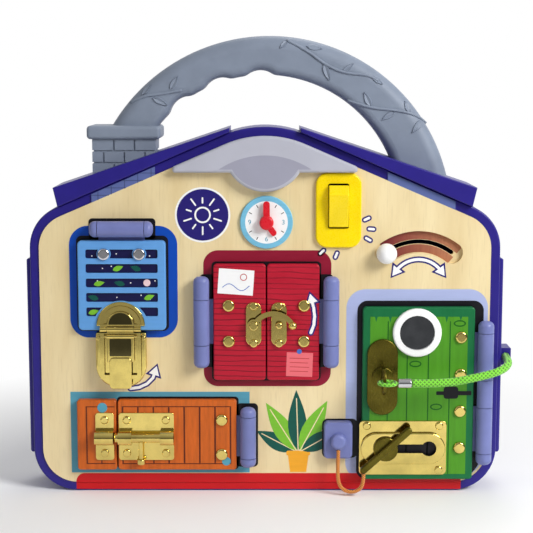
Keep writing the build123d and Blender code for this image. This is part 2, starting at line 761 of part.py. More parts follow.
plate_front = BOARD_FRONT - SWITCH_T
rocker_points = [
    (ROCKER_ROOT_Y, ROCKER_Z - ROCKER_H * 0.3),
    (plate_front - 1.0, ROCKER_Z - ROCKER_H / 2),
    (plate_front - 2.0, ROCKER_Z - ROCKER_H / 2),
    (plate_front - ROCKER_RIDGE, ROCKER_Z + ROCKER_H * 0.28),
    (plate_front - 2.6, ROCKER_Z + ROCKER_H / 2),
    (plate_front - 1.0, ROCKER_Z + ROCKER_H / 2),
    (ROCKER_ROOT_Y, ROCKER_Z + ROCKER_H * 0.3),
]
rocker_side = make_face(Polyline(*rocker_points, close=True))
rocker_left = SWITCH_X - ROCKER_W / 2
switch_rocker = extrude(Plane.YZ.offset(rocker_left) * rocker_side, amount=ROCKER_W)
ridge_edges = [e for e in switch_rocker.edges() if e.center().Y < plate_front - 0.5]
switch_rocker = fillet(ridge_edges, 0.7)
pin_out = body_w / 2 - 0.2
switch_rocker += rod_x(ROCKER_AXIS_Y, ROCKER_Z, SWITCH_X - pin_out, SWITCH_X + pin_out, ROCKER_PIN_R)

# Clock

dial_front = BOARD_FRONT - DIAL_T
hour_back = dial_front - GAP
minute_back = hour_back - HAND_T - GAP
minute_front = minute_back - HAND_T
clock_dial = rod_y(CLOCK_X, CLOCK_Z, BOARD_FRONT, dial_front, DIAL_R)
clock_dial = soften(clock_dial, dial_front, 0.6)
clock_dial -= rod_y(CLOCK_X, CLOCK_Z, BOARD_FRONT + 1, dial_front - 1, SPINDLE_R + RUN)


def hand(length, width, angle):
    """Front-view outline of a hand with its hub."""
    bar = Rectangle(length, width, align=(Align.MIN, Align.CENTER)) + Pos(length, 0) * Circle(width / 2)
    return place(CLOCK_X, CLOCK_Z, Rot(0, 0, angle) * (bar + Circle(HUB_R)))


spindle_hole = rod_y(CLOCK_X, CLOCK_Z, BOARD_BACK, minute_front, SPINDLE_R + RUN)
hour_hand = slab(hand(HOUR_LEN - HOUR_W / 2, HOUR_W, HOUR_ANGLE), hour_back, hour_back - HAND_T)
hour_hand -= spindle_hole
minute_hand = slab(hand(MINUTE_LEN - MINUTE_W / 2, MINUTE_W, MINUTE_ANGLE), minute_back, minute_front)
hub_cap = rod_y(CLOCK_X, CLOCK_Z, minute_front, minute_front - HUB_CAP_T, HUB_R)
minute_hand += soften(hub_cap, minute_front - HUB_CAP_T, HUB_CAP_T * 0.7)
minute_hand -= spindle_hole
clock_spindle = rod_y(CLOCK_X, CLOCK_Z, BOARD_BACK, minute_front + GAP, SPINDLE_R)
clock_spindle += rod_y(CLOCK_X, CLOCK_Z, BOARD_BACK + SPINDLE_HEAD_T, BOARD_BACK, SPINDLE_HEAD_R)

# Arc slide


def arc_band(width):
    """Front-view band along the arc with round ends."""
    ring = Circle(ARC_R + width / 2) - Circle(ARC_R - width / 2)
    far = 2 * ARC_R
    left = (-far * sin(radians(ARC_HALF_DEG)), far * cos(radians(ARC_HALF_DEG)))
    right = (-left[0], left[1])
    band = ring & area([(0, 0), left, right])
    for sign in (-1, 1):
        end_x = sign * ARC_R * sin(radians(ARC_HALF_DEG))
        end_z = ARC_R * cos(radians(ARC_HALF_DEG))
        band += Pos(end_x, end_z) * Circle(width / 2)
    return place(ARC_X, ARC_Z, band)


ball_x = ARC_X - ARC_R * sin(radians(ARC_HALF_DEG))
ball_z = ARC_Z + ARC_R * cos(radians(ARC_HALF_DEG))
arm_front = BOARD_BACK + ARM_GAP
arm_back = arm_front + ARM_T
ball_y = BOARD_FRONT - BALL_R + CHANNEL_DEEP * 0.6
arm_shape = Rectangle(ARC_R, ARM_W, align=(Align.MIN, Align.CENTER)) + Circle(ARM_W * 0.7)
arm_shape += Pos(ARC_R, 0) * Circle(ARM_W / 2)
slide_knob = slab(place(ARC_X, ARC_Z, Rot(0, 0, 90 + ARC_HALF_DEG) * arm_shape), arm_back, arm_front)
slide_knob += rod_y(ball_x, ball_z, arm_front, ball_y, BALL_STEM_R)
slide_knob += Pos(ball_x, ball_y, ball_z) * Sphere(BALL_R)
slide_knob -= rod_y(ARC_X, ARC_Z, arm_back + 1, arm_front - 1, PIVOT_R + RUN)
slide_pivot = rod_y(ARC_X, ARC_Z, arm_back + GAP, BOARD_BACK - SCREW_BITE, PIVOT_R)
slide_pivot += rod_y(ARC_X, ARC_Z, arm_back + GAP + PIVOT_HEAD_T, arm_back + GAP, PIVOT_HEAD_R)

# Window shutter

window_left = WINDOW_X - WINDOW_W / 2
window_right = WINDOW_X + WINDOW_W / 2
window_place = set_level(WINDOW_X + WINDOW_HINGE_L / 2, WINDOW_AXIS_Z)
window_leaf_low = WINDOW_CAP_L + HINGE_SPLIT
window_leaf_high = WINDOW_HINGE_L - window_leaf_low
window_reach = WINDOW_AXIS_Z - WINDOW_RIVET_Z + RIVET_R + 2
window_bracket = [
    window_place(fixed_knuckle(0, WINDOW_CAP_L, WINDOW_HINGE_L)),
    window_place(fixed_knuckle(WINDOW_HINGE_L - WINDOW_CAP_L, WINDOW_HINGE_L, WINDOW_HINGE_L)),
]
window_hinge_leaf = window_place(
    moving_knuckle(window_leaf_low, window_leaf_high, WINDOW_HINGE_L, window_reach))
window_shutter = slab(panel(window_left, window_right, WINDOW_LOW, WINDOW_HIGH, WINDOW_R), DOOR_BACK, DOOR_FRONT)
window_shutter = soften(window_shutter, DOOR_FRONT, DOOR_EDGE_R)
for slat in range(SLAT_COUNT):
    slat_z = SLAT_TOP - SLAT_H / 2 - slat * SLAT_PITCH
    slat_shape = place(WINDOW_X, slat_z, RectangleRounded(SLAT_W, SLAT_H, 1.2))
    rivet_land = Circle(0.1)
    for sign in (-1, 1):
        rivet_land += place(WINDOW_X + sign * WINDOW_RIVET_DX, WINDOW_RIVET_Z, Circle(RIVET_R + 0.6))
    rose_land = place(LATCH_X, ROSE_FLAT_Z - 2, Circle(ROSE_R + 2.6))
    window_shutter -= slab(slat_shape - rivet_land - rose_land, DOOR_FRONT + SLAT_DEEP, DOOR_FRONT - 1)
window_shutter -= window_place(leaf_plate(window_leaf_low, window_leaf_high, window_reach, FIT))
window_rivet_list = []
for sign in (-1, 1):
    rivet_x = WINDOW_X + sign * WINDOW_RIVET_DX
    window_shutter -= rivet_hole(rivet_x, WINDOW_RIVET_Z)
    window_hinge_leaf -= rivet_hole(rivet_x, WINDOW_RIVET_Z)
    window_rivet_list.append(rivet(rivet_x, WINDOW_RIVET_Z))

# Window latch: a flap and lever hang from the round plate and lie over the base

rose_front = DOOR_FRONT - PLATE_T
rose_disc = place(LATCH_X, ROSE_FLAT_Z, Circle(ROSE_R)) & place(LATCH_X, ROSE_FLAT_Z + 20, Rectangle(60, 40))
latch_rose = slab(rose_disc, DOOR_FRONT, rose_front)
latch_rose = soften(latch_rose, rose_front, 0.5)
upper_half = place(LATCH_X, ROSE_FLAT_Z + 20, Rectangle(60, 40))
arch_shape = place(LATCH_X, ROSE_FLAT_Z, Circle(ARCH_R_OUT) - Circle(ARCH_R_IN)) & upper_half
latch_rose += slab(arch_shape, rose_front, rose_front - ARCH_H)
moon_shape = place(LATCH_X, ROSE_FLAT_Z + 0.6, Circle(MOON_R)) & upper_half
latch_rose += soften(slab(moon_shape, rose_front, rose_front - MOON_H), rose_front - MOON_H, 0.6)
flap_left = LATCH_X - FLAP_W / 2
flap_right = LATCH_X + FLAP_W / 2
ear_axis = rod_x(FLAP_AXIS_Y, FLAP_AXIS_Z, flap_left, flap_right, FLAP_BARREL_R)
ear_web = block(flap_left, flap_right, DOOR_FRONT, FLAP_AXIS_Y, FLAP_AXIS_Z - 1.0, ROSE_FLAT_Z + 1.5)
ear_cut = block(flap_left + EAR_L, flap_right - EAR_L, 0, -60, 0, 300)
ear_pair = ear_axis + ear_web - ear_cut
ear_pair -= rod_x(FLAP_AXIS_Y, FLAP_AXIS_Z, flap_left - 1, flap_right + 1, FLAP_PIN_R + RUN)
latch_rose += ear_pair

barrel_left = flap_left + EAR_L + GAP
barrel_right = flap_right - EAR_L - GAP
flap_back = FLAP_AXIS_Y + FLAP_T / 2
flap_front = FLAP_AXIS_Y - FLAP_T / 2
flap_high = FLAP_AXIS_Z - FLAP_BARREL_R - 0.5
flap_shape = panel(flap_left, flap_right, FLAP_LOW, flap_high, 1.0)
lever_bore_high = LEVER_AXIS_Z + LEVER_BARREL_R + GAP
flap_shape -= panel(flap_left + FLAP_LEG_W, flap_right - FLAP_LEG_W, FLAP_LOW + FLAP_LEG_W, lever_bore_high, 0.6)
latch_flap = slab(flap_shape, flap_back, flap_front)
latch_flap += rod_x(FLAP_AXIS_Y, FLAP_AXIS_Z, barrel_left, barrel_right, FLAP_BARREL_R)
latch_flap += block(barrel_left, barrel_right, flap_back, flap_front, lever_bore_high, FLAP_AXIS_Z)
latch_flap -= rod_x(FLAP_AXIS_Y, LEVER_AXIS_Z, flap_left - 1, flap_right + 1, FLAP_PIN_R + RUN)
latch_flap += rod_x(FLAP_AXIS_Y, FLAP_AXIS_Z, flap_left + 0.4, flap_right - 0.4, FLAP_PIN_R)

lever_left = LATCH_X - LEVER_W / 2
lever_right = LATCH_X + LEVER_W / 2
lever_back = FLAP_AXIS_Y + LEVER_T / 2
lever_front = FLAP_AXIS_Y - LEVER_T / 2
latch_lever = block(lever_left, lever_right, lever_back, lever_front, LEVER_LOW, LEVER_AXIS_Z)
latch_lever = fillet(front_edges(latch_lever, lever_front), 0.6)
latch_lever += rod_x(FLAP_AXIS_Y, LEVER_AXIS_Z, lever_left, lever_right, LEVER_BARREL_R)
tab_back = FLAP_AXIS_Y - FLAP_T / 2 - GAP
tab_shape = panel(LATCH_X - TAB_W / 2, LATCH_X + TAB_W / 2, TAB_LOW, LEVER_LOW + 3, 2.5)
tab = slab(tab_shape, tab_back, tab_back - TAB_T)
latch_lever += soften(tab, tab_back - TAB_T, 0.5)
latch_lever += block(LATCH_X - TAB_W / 2, LATCH_X + TAB_W / 2, FLAP_AXIS_Y, tab_back - 0.2, LEVER_LOW, LEVER_LOW + 2.5)
latch_lever += rod_x(FLAP_AXIS_Y, LEVER_AXIS_Z, flap_left + 0.4, flap_right - 0.4, FLAP_PIN_R)

base_front = BOARD_FRONT - LATCH_BASE_H
base_left = LATCH_X - LATCH_BASE_W / 2
base_right = LATCH_X + LATCH_BASE_W / 2
base_shape = panel(base_left, base_right, LATCH_BASE_LOW, LATCH_BASE_HIGH + LATCH_BASE_R, LATCH_BASE_R)
base_shape &= panel(base_left, base_right, LATCH_BASE_LOW - 5, LATCH_BASE_HIGH, 1.0)
latch_base = slab(base_shape, BOARD_FRONT, base_front)
latch_base = soften(latch_base, base_front, 1.4)

# Red double door


def red_side(side):
    """One leaf with its hinge leaf and rivets; side -1 is the left leaf."""
    inner = RED_X + side * RED_SPLIT / 2
    outer = RED_X + side * (RED_SPLIT / 2 + RED_LEAF_W)
    left, right = min(inner, outer), max(inner, outer)
    axis_x = RED_X + side * RED_AXIS_DX
    put = set_upright(axis_x, RED_HINGE_LOW, side)
    low = RED_CAP_L + HINGE_SPLIT
    high = RED_HINGE_L - low
    reach = RED_AXIS_DX - RED_RIVET_DX + RIVET_R + 2
    bracket = [
        put(fixed_knuckle(0, RED_CAP_L, RED_HINGE_L)),
        put(fixed_knuckle(RED_HINGE_L - RED_CAP_L, RED_HINGE_L, RED_HINGE_L)),
    ]
    hinge_leaf = put(moving_knuckle(low, high, RED_HINGE_L, reach))
    leaf = slab(panel(left, right, RED_LOW, RED_HIGH, RED_R), DOOR_BACK, DOOR_FRONT)
    leaf = soften(leaf, DOOR_FRONT, DOOR_EDGE_R)
    leaf -= put(leaf_plate(low, high, reach, FIT))
    rivets = []
    for rivet_z in (RED_RIVET_LOW, RED_RIVET_HIGH):
        rivet_x = RED_X + side * RED_RIVET_DX
        leaf -= rivet_hole(rivet_x, rivet_z)
        hinge_leaf -= rivet_hole(rivet_x, rivet_z)
        rivets.append(rivet(rivet_x, rivet_z))
    return leaf, hinge_leaf, rivets, bracket, put(hinge_pin(RED_HINGE_L))


red_leaf_left, red_hinge_leaf_left, red_rivet_list_left, red_bracket_left, red_pin_left = red_side(-1)
red_leaf_right, red_hinge_leaf_right, red_rivet_list_right, red_bracket_right, red_pin_right = red_side(1)

# Swing hook

hook_x = RED_X - HOOK_PLATE_DX
stud_x = RED_X + HOOK_PLATE_DX
plate_y = DOOR_FRONT - PLATE_T
boss_front = plate_y - HOOK_BOSS_H
hook_back = boss_front - GAP
hook_front = hook_back - HOOK_T


def hook_mount(x):
    shape = panel(x - HOOK_PLATE_W / 2, x + HOOK_PLATE_W / 2, HOOK_PLATE_LOW, HOOK_PLATE_HIGH, HOOK_PLATE_R)
    plate = soften(slab(shape, DOOR_FRONT, plate_y), plate_y, 0.4)
    for sign in (-1, 1):
        plate -= pin_hole(x, HOOK_Z + sign * HOOK_PIN_DZ, plate_y)
    return plate


hook_plate = hook_mount(hook_x)
hook_plate += rod_y(hook_x, HOOK_Z, plate_y, boss_front, HOOK_BOSS_R)
hook_plate += rod_y(hook_x, HOOK_Z, boss_front, hook_front - GAP, HOOK_PIVOT_R)
pivot_head = rod_y(hook_x, HOOK_Z, hook_front - GAP, hook_front - GAP - HOOK_PIVOT_HEAD_T, HOOK_PIVOT_HEAD_R)
hook_plate += fillet(pivot_head.edges().sort_by(Axis.Y)[0], 0.6)
stud_plate = hook_mount(stud_x)
stud = rod_y(stud_x, HOOK_Z, plate_y, plate_y - STUD_H, STUD_R)
stud_plate += fillet(stud.edges().sort_by(Axis.Y)[0], 1.2)
for sign in (-1, 1):
    pin_z = HOOK_Z + sign * HOOK_PIN_DZ
    red_leaf_left -= pin_hole(hook_x, pin_z, plate_y)
    red_leaf_right -= pin_hole(stud_x, pin_z, plate_y)
    red_rivet_list_left.append(small_pin(hook_x, pin_z, plate_y))
    red_rivet_list_right.append(small_pin(stud_x, pin_z, plate_y))

hook_arc_r = ((HOOK_REACH / 2) ** 2 + HOOK_RISE ** 2) / (2 * HOOK_RISE)
hook_arc_x = hook_x + HOOK_REACH / 2
hook_arc_z = HOOK_Z + HOOK_RISE - hook_arc_r
hook_band = Circle(hook_arc_r + HOOK_ARM_W / 2) - Circle(hook_arc_r - HOOK_ARM_W / 2)
hook_window = place(hook_arc_x, HOOK_Z + 20, Rectangle(HOOK_REACH + HOOK_ARM_W, 40))
hook_shape = place(hook_arc_x, hook_arc_z, hook_band) & hook_window
hook_shape += place(hook_x, HOOK_Z, Circle(HOOK_EYE_R))
swing_hook = slab(hook_shape, hook_back, hook_front)
hook_tip_x = hook_x + HOOK_REACH
swing_hook += Pos(hook_tip_x, (hook_back + hook_front) / 2, HOOK_Z) * Sphere(HOOK_BALL_R)
swing_hook -= rod_y(hook_x, HOOK_Z, hook_back + 1, hook_front - 1, HOOK_PIVOT_R + RUN)

# Orange door and barrel bolt

orange_place = set_upright(ORANGE_AXIS_X, ORANGE_HINGE_LOW, 1)
orange_leaf_low = ORANGE_CAP_L + HINGE_SPLIT
orange_leaf_high = ORANGE_HINGE_L - orange_leaf_low
orange_reach = ORANGE_AXIS_X - ORANGE_RIVET_X + RIVET_R + 2
orange_bracket = [
    orange_place(fixed_knuckle(0, ORANGE_CAP_L, ORANGE_HINGE_L)),
    orange_place(fixed_knuckle(ORANGE_HINGE_L - ORANGE_CAP_L, ORANGE_HINGE_L, ORANGE_HINGE_L)),
]
orange_hinge_leaf = orange_place(
    moving_knuckle(orange_leaf_low, orange_leaf_high, ORANGE_HINGE_L, orange_reach))
orange_shape = panel(ORANGE_LEFT, ORANGE_RIGHT, ORANGE_LOW, ORANGE_HIGH, ORANGE_R)
orange_door = soften(slab(orange_shape, DOOR_BACK, DOOR_FRONT), DOOR_FRONT, DOOR_EDGE_R)
orange_door -= orange_place(leaf_plate(orange_leaf_low, orange_leaf_high, orange_reach, FIT))
orange_rivet_list = []
for rivet_z in (ORANGE_RIVET_LOW, ORANGE_RIVET_HIGH):
    orange_door -= rivet_hole(ORANGE_RIVET_X, rivet_z)
    orange_hinge_leaf -= rivet_hole(ORANGE_RIVET_X, rivet_z)
    orange_rivet_list.append(rivet(ORANGE_RIVET_X, rivet_z))
orange_panel = slab(panel(PANEL_LEFT, PANEL_RIGHT, ORANGE_LOW, ORANGE_HIGH, ORANGE_R), BOARD_FRONT, DOOR_FRONT)
orange_panel = soften(orange_panel, DOOR_FRONT, DOOR_EDGE_R)

bolt_y = plate_y - BOLT_LIFT - BOLT_R
bolt_plate_right = BOLT_PLATE_LEFT + BOLT_PLATE_W
bolt_plate_x = BOLT_PLATE_LEFT + BOLT_PLATE_W / 2


def collar(left, right, bore):
    """Arched guide for the bolt rod, standing on its plate."""
    arch = rod_x(bolt_y, BOLT_Z, left, right, BOLT_BARREL_R)
    arch += block(left, right, plate_y, bolt_y, BOLT_Z - BOLT_BARREL_R, BOLT_Z + BOLT_BARREL_R)
    arch &= block(left, right, plate_y, plate_y - 30, BOLT_Z - 20, BOLT_Z + 20)
    return arch - rod_x(bolt_y, BOLT_Z, left - 1, right + 1, bore)


bolt_shape = panel(BOLT_PLATE_LEFT, bolt_plate_right, BOLT_Z - BOLT_PLATE_H / 2, BOLT_Z + BOLT_PLATE_H / 2,
                   BOLT_PLATE_R)
bolt_housing = soften(slab(bolt_shape, DOOR_FRONT, plate_y), plate_y, 0.4)
bolt_housing += collar(BOLT_PLATE_LEFT, BOLT_PLATE_LEFT + BOLT_COLLAR_L, BOLT_R + BOLT_RUN)
bolt_housing += collar(bolt_plate_right - BOLT_COLLAR_L, bolt_plate_right, BOLT_R + BOLT_RUN)
for sign_x in (-1, 1):
    for sign_z in (-1, 1):
        pin_x = bolt_plate_x + sign_x * BOLT_PIN_DX
        pin_z = BOLT_Z + sign_z * BOLT_PIN_DZ
        bolt_housing -= pin_hole(pin_x, pin_z, plate_y)
        orange_door -= pin_hole(pin_x, pin_z, plate_y)
        orange_rivet_list.append(small_pin(pin_x, pin_z, plate_y))
bolt_rod = rod_x(bolt_y, BOLT_Z, BOLT_TIP_X, BOLT_TIP_X + BOLT_L, BOLT_R)
bolt_rod = fillet(bolt_rod.edges().sort_by(Axis.X)[0], 1.0)
bolt_rod += rod_z(BOLT_KNOB_X, bolt_y, BOLT_Z - BOLT_KNOB_DROP, BOLT_Z, BOLT_KNOB_STEM_R)
knob_low = BOLT_Z - BOLT_KNOB_DROP - BOLT_KNOB_L
bolt_knob = rod_z(BOLT_KNOB_X, bolt_y, knob_low, BOLT_Z - BOLT_KNOB_DROP, BOLT_KNOB_R)
bolt_rod += fillet(bolt_knob.edges(), 0.9)

strike_left = STRIKE_RIGHT - STRIKE_W
strike_x = STRIKE_RIGHT - STRIKE_W / 2
strike_shape = panel(strike_left, STRIKE_RIGHT, BOLT_Z - BOLT_PLATE_H / 2, BOLT_Z + BOLT_PLATE_H / 2, BOLT_PLATE_R)
bolt_strike = soften(slab(strike_shape, DOOR_FRONT, plate_y), plate_y, 0.4)
bolt_strike += collar(strike_left, STRIKE_RIGHT, BOLT_R + STRIKE_BORE_GAP)
board_rivet_list = []
for sign in (-1, 1):
    pin_z = BOLT_Z + sign * BOLT_PIN_DZ
    bolt_strike -= pin_hole(strike_x, pin_z, plate_y)
    orange_panel -= pin_hole(strike_x, pin_z, plate_y)
    board_rivet_list.append(small_pin(strike_x, pin_z, plate_y))
for sign in (-1, 1):
    base_pin_x = LATCH_X + sign * LATCH_RIVET_DX
    base_pin_tip = base_front + 3
    latch_base -= rod_y(base_pin_x, LATCH_RIVET_Z, base_pin_tip + FIT, base_front - 1, 0.8 + FIT)
    board_rivet_list.append(
        pin(base_pin_x, LATCH_RIVET_Z, base_front, base_pin_tip, LATCH_RIVET_R, LATCH_RIVET_H, 0.8))

# Green door

green_place = set_upright(GREEN_AXIS_X, GREEN_HINGE_LOW, 1)
green_mid_low = (GREEN_HINGE_L - GREEN_MID_L) / 2
green_mid_high = (GREEN_HINGE_L + GREEN_MID_L) / 2
green_bracket = [
    green_place(fixed_knuckle(0, GREEN_CAP_L, GREEN_HINGE_L)),
    green_place(fixed_knuckle(green_mid_low, green_mid_high, GREEN_HINGE_L)),
    green_place(fixed_knuckle(GREEN_HINGE_L - GREEN_CAP_L, GREEN_HINGE_L, GREEN_HINGE_L)),
]
green_spans = [
    (GREEN_CAP_L + HINGE_SPLIT, green_mid_low - HINGE_SPLIT),
    (green_mid_high + HINGE_SPLIT, GREEN_HINGE_L - GREEN_CAP_L - HINGE_SPLIT),
]
green_reach = GREEN_AXIS_X - GREEN_RIVET_X + RIVET_R + 2
green_door = slab(panel(GREEN_LEFT, GREEN_RIGHT, GREEN_LOW, GREEN_HIGH, GREEN_R), DOOR_BACK, DOOR_FRONT)
green_door = soften(green_door, DOOR_FRONT, DOOR_EDGE_R)
green_leaf_list = []
for low, high in green_spans:
    green_leaf_list.append(green_place(moving_knuckle(low, high, GREEN_HINGE_L, green_reach)))
leaf_tie = block(-green_reach, -green_reach + 8, DOOR_BACK, DOOR_BACK - LEAF_T, green_spans[0][0], green_spans[1][1])
green_hinge_leaf = green_leaf_list[0] + green_leaf_list[1] + green_place(leaf_tie)
for low, high in green_spans:
    green_door -= green_place(leaf_plate(low, high, green_reach, FIT))
tie_pocket = block(-green_reach - FIT, -green_reach + 8 + FIT, DOOR_BACK + 1, DOOR_BACK - LEAF_T - FIT,
                   green_spans[0][0], green_spans[1][1])
green_door -= green_place(tie_pocket)
green_rivet_list = []
for number in range(GREEN_RIVET_COUNT):
    rivet_z = GREEN_RIVET_LOW + number * GREEN_RIVET_STEP
    green_door -= rivet_hole(GREEN_RIVET_X, rivet_z)
    green_hinge_leaf -= rivet_hole(GREEN_RIVET_X, rivet_z)
    green_rivet_list.append(rivet(GREEN_RIVET_X, rivet_z))

ring_front = DOOR_FRONT - MIRROR_RING_H
mirror_back = DOOR_FRONT + MIRROR_SEAT
mirror_ring = rod_y(MIRROR_X, MIRROR_Z, DOOR_FRONT, ring_front, MIRROR_RING_R)
mirror_ring = soften(mirror_ring, ring_front, 1.2)
mirror_ring -= rod_y(MIRROR_X, MIRROR_Z, DOOR_FRONT + 1, ring_front - 1, MIRROR_R)
mirror_glass = rod_y(MIRROR_X, MIRROR_Z, mirror_back, mirror_back - MIRROR_T, MIRROR_R - FIT)
green_door -= rod_y(MIRROR_X, MIRROR_Z, mirror_back, DOOR_FRONT - 1, MIRROR_R)

# Key lock

esc_front = DOOR_FRONT - ESC_T
plug_front = esc_front - PLUG_PROUD
cam_front = BOARD_FRONT + CAM_LIP + GAP
cam_back = cam_front + CAM_T
escutcheon = slab(place(LOCK_X, LOCK_Z, SlotOverall(ESC_H, ESC_W, rotation=90)), DOOR_FRONT, esc_front)
escutcheon = soften(escutcheon, esc_front, ESC_EDGE_R)
plug_bore = rod_y(LOCK_X, LOCK_Z, DOOR_BACK + 1, esc_front - 1, PLUG_R + RUN)
escutcheon -= plug_bore
green_door -= plug_bore
lock_plug = rod_y(LOCK_X, LOCK_Z, cam_front, esc_front - GAP, PLUG_R)
plug_face = rod_y(LOCK_X, LOCK_Z, esc_front - GAP, plug_front, PLUG_FACE_R)
lock_plug += soften(plug_face, plug_front, 0.6)
cam_shape = place(LOCK_X, LOCK_Z + CAM_LEN / 2, RectangleRounded(CAM_W, CAM_LEN, 1.0))
lock_plug += slab(cam_shape + place(LOCK_X, LOCK_Z, Circle(CAM_W / 2)), cam_back, cam_front)
blade_tip = plug_front + KEY_BLADE_L
lock_plug -= block(LOCK_X - KEY_T / 2 - KEY_SLOT_GAP, LOCK_X + KEY_T / 2 + KEY_SLOT_GAP, blade_tip + GAP,
                   plug_front - 1, LOCK_Z - KEY_BLADE_H / 2 - KEY_SLOT_GAP, LOCK_Z + KEY_BLADE_H / 2 + KEY_SLOT_GAP)

bow_plane = Plane.YZ.offset(LOCK_X - KEY_T / 2)
bow_shape = Pos(KEY_BOW_Y, LOCK_Z) * Ellipse(KEY_BOW_R, KEY_BOW_HALF_H)
bow_shape -= Pos(KEY_HOLE_Y, LOCK_Z) * Circle(KEY_HOLE_R)
key = extrude(bow_plane * bow_shape, amount=KEY_T)
bow_side_edges = [e for e in key.edges() if abs(abs(e.center().X - LOCK_X) - KEY_T / 2) < 0.01]
key = fillet(bow_side_edges, 0.5)
key += block(LOCK_X - KEY_T / 2, LOCK_X + KEY_T / 2, blade_tip, KEY_BOW_Y + KEY_BOW_R - 2,
             LOCK_Z - KEY_BLADE_H / 2, LOCK_Z + KEY_BLADE_H / 2)
key_loop = Pos(LOOP_X, LOOP_Y, LOCK_Z) * Torus(LOOP_R, LOOP_TUBE_R)
sleeve_left = LOOP_X + LOOP_R + LOOP_TUBE_R + SLEEVE_GAP
sleeve_right = sleeve_left + SLEEVE_L
crimp_sleeve = rod_x(LOOP_Y, LOCK_Z, sleeve_left, sleeve_right, SLEEVE_R)
crimp_sleeve = fillet(crimp_sleeve.edges().sort_by(Axis.X)[0], 0.7)
crimp_sleeve = fillet(crimp_sleeve.edges().sort_by(Axis.X)[-1], 0.7)


def cord(points, diameter):
    """Round cord along straight runs joined by tangent arcs; returns the tube and its bend radii."""
    vectors = [Vector(*p) for p in points]
    radii = []
    for before, here, after in zip(vectors, vectors[1:], vectors[2:]):
        turn = radians((here - before).get_angle(after - here))
        shorter = min((here - before).length, (after - here).length)
        radii.append(0.45 * shorter / tan(turn / 2))
    runs = []
    start = vectors[0]
    for index, radius in enumerate(radii):
        before, here, after = vectors[index:index + 3]
        turn = radians((here - before).get_angle(after - here))
        reach = radius * tan(turn / 2)
        way_in = (here - before).normalized()
        way_out = (after - here).normalized()
        arc_start = here - way_in * reach
        arc_end = here + way_out * reach
        runs.append(Line(start, arc_start))
        runs.append(TangentArc(arc_start, arc_end, tangent=way_in))
        start = arc_end
    runs.append(Line(start, vectors[-1]))
    path = Wire(runs)
    profile = Plane(vectors[0], z_dir=vectors[1] - vectors[0]) * Circle(diameter / 2)
    return sweep(profile, path=path), radii


cord_start_x = sleeve_right + CORD_END_GAP
cord_span = cord_x - cord_start_x
cord_points = [
    (cord_start_x, LOOP_Y, LOCK_Z),
    (cord_start_x + 0.29 * cord_span, LOOP_Y + 0.5, LOCK_Z - 0.5),
    (cord_start_x + 0.594 * cord_span, LOOP_Y + 1.5, LOCK_Z + 3.0),
    (cord_start_x + 0.862 * cord_span, LOOP_Y + 6.0, LOCK_Z + 6.5),
    (cord_x - 1.2, LOOP_Y + 18.0, LOCK_Z + 9.0),
    (cord_x, BOSS_FRONT - 6.0, cord_z),
    (cord_x, BOSS_FRONT + BOSS_BORE_DEEP - GAP, cord_z),
]
key_cord, key_cord_radii = cord(cord_points, CORD_D)
print("key cord bend radii", [round(r, 1) for r in key_cord_radii])

# Door chain

dish_front = DOOR_FRONT - CHAIN_DISH_RISE
chain_plate_x = CHAIN_PLATE_LEFT + CHAIN_PLATE_W / 2
chain_low = CHAIN_Z - CHAIN_PLATE_H / 2
chain_high = CHAIN_Z + CHAIN_PLATE_H / 2
flange = panel(CHAIN_PLATE_LEFT, CHAIN_PLATE_LEFT + CHAIN_PLATE_W, chain_low, chain_high, CHAIN_PLATE_R)
chain_flange_y = DOOR_FRONT - PLATE_T
chain_plate = soften(slab(flange, DOOR_FRONT, chain_flange_y), chain_flange_y, 0.4)
dish = place(chain_plate_x, CHAIN_Z, SlotOverall(CHAIN_DISH_W, CHAIN_DISH_H))
chain_plate += soften(slab(dish, DOOR_FRONT, dish_front), dish_front, 0.8)
hollow = place(chain_plate_x, CHAIN_Z, SlotOverall(CHAIN_DISH_W - 2 * CHAIN_SKIN, CHAIN_DISH_H - 2 * CHAIN_SKIN))
chain_plate -= slab(hollow, DOOR_FRONT + 1, dish_front + CHAIN_SKIN)
slot_mid_x = (CHAIN_START_X + CHAIN_END_X) / 2
slot_shape = place(slot_mid_x, CHAIN_Z, SlotCenterToCenter(CHAIN_END_X - CHAIN_START_X, CHAIN_SLOT_W))
slot_shape += place(CHAIN_END_X, CHAIN_Z, Circle(CHAIN_HOLE_R))
chain_plate -= slab(slot_shape, DOOR_FRONT, dish_front - 1)
for sign_x in (-1, 1):
    for sign_z in (-1, 1):
        pin_x = chain_plate_x + sign_x * (CHAIN_PIN_DX - 3.6)
        pin_z = CHAIN_Z + sign_z * CHAIN_PIN_DZ
        chain_plate -= pin_hole(pin_x, pin_z, chain_flange_y)
        green_door -= pin_hole(pin_x, pin_z, chain_flange_y)
        green_rivet_list.append(small_pin(pin_x, pin_z, chain_flange_y))

disc_back = dish_front - SLIDER_LIFT
disc_front = disc_back - SLIDER_DISC_T
head_front = dish_front + CHAIN_SKIN + SLIDER_LIFT
stem_r = CHAIN_SLOT_W / 2 - SLIDER_STEM_GAP
chain_slider = rod_y(CHAIN_START_X, CHAIN_Z, head_front + SLIDER_HEAD_T, head_front, SLIDER_HEAD_R)
chain_slider += rod_y(CHAIN_START_X, CHAIN_Z, head_front, disc_back, stem_r)
slider_disc = rod_y(CHAIN_START_X, CHAIN_Z, disc_back, disc_front, SLIDER_DISC_R)
chain_slider += soften(slider_disc, disc_front, 0.8)
paddle_shape = Rot(0, 0, PADDLE_ANGLE) * SlotOverall(PADDLE_L, PADDLE_W)
paddle = slab(place(CHAIN_START_X, CHAIN_Z, paddle_shape), disc_front, disc_front - PADDLE_T)
chain_slider += soften(paddle, disc_front - PADDLE_T, 0.9)

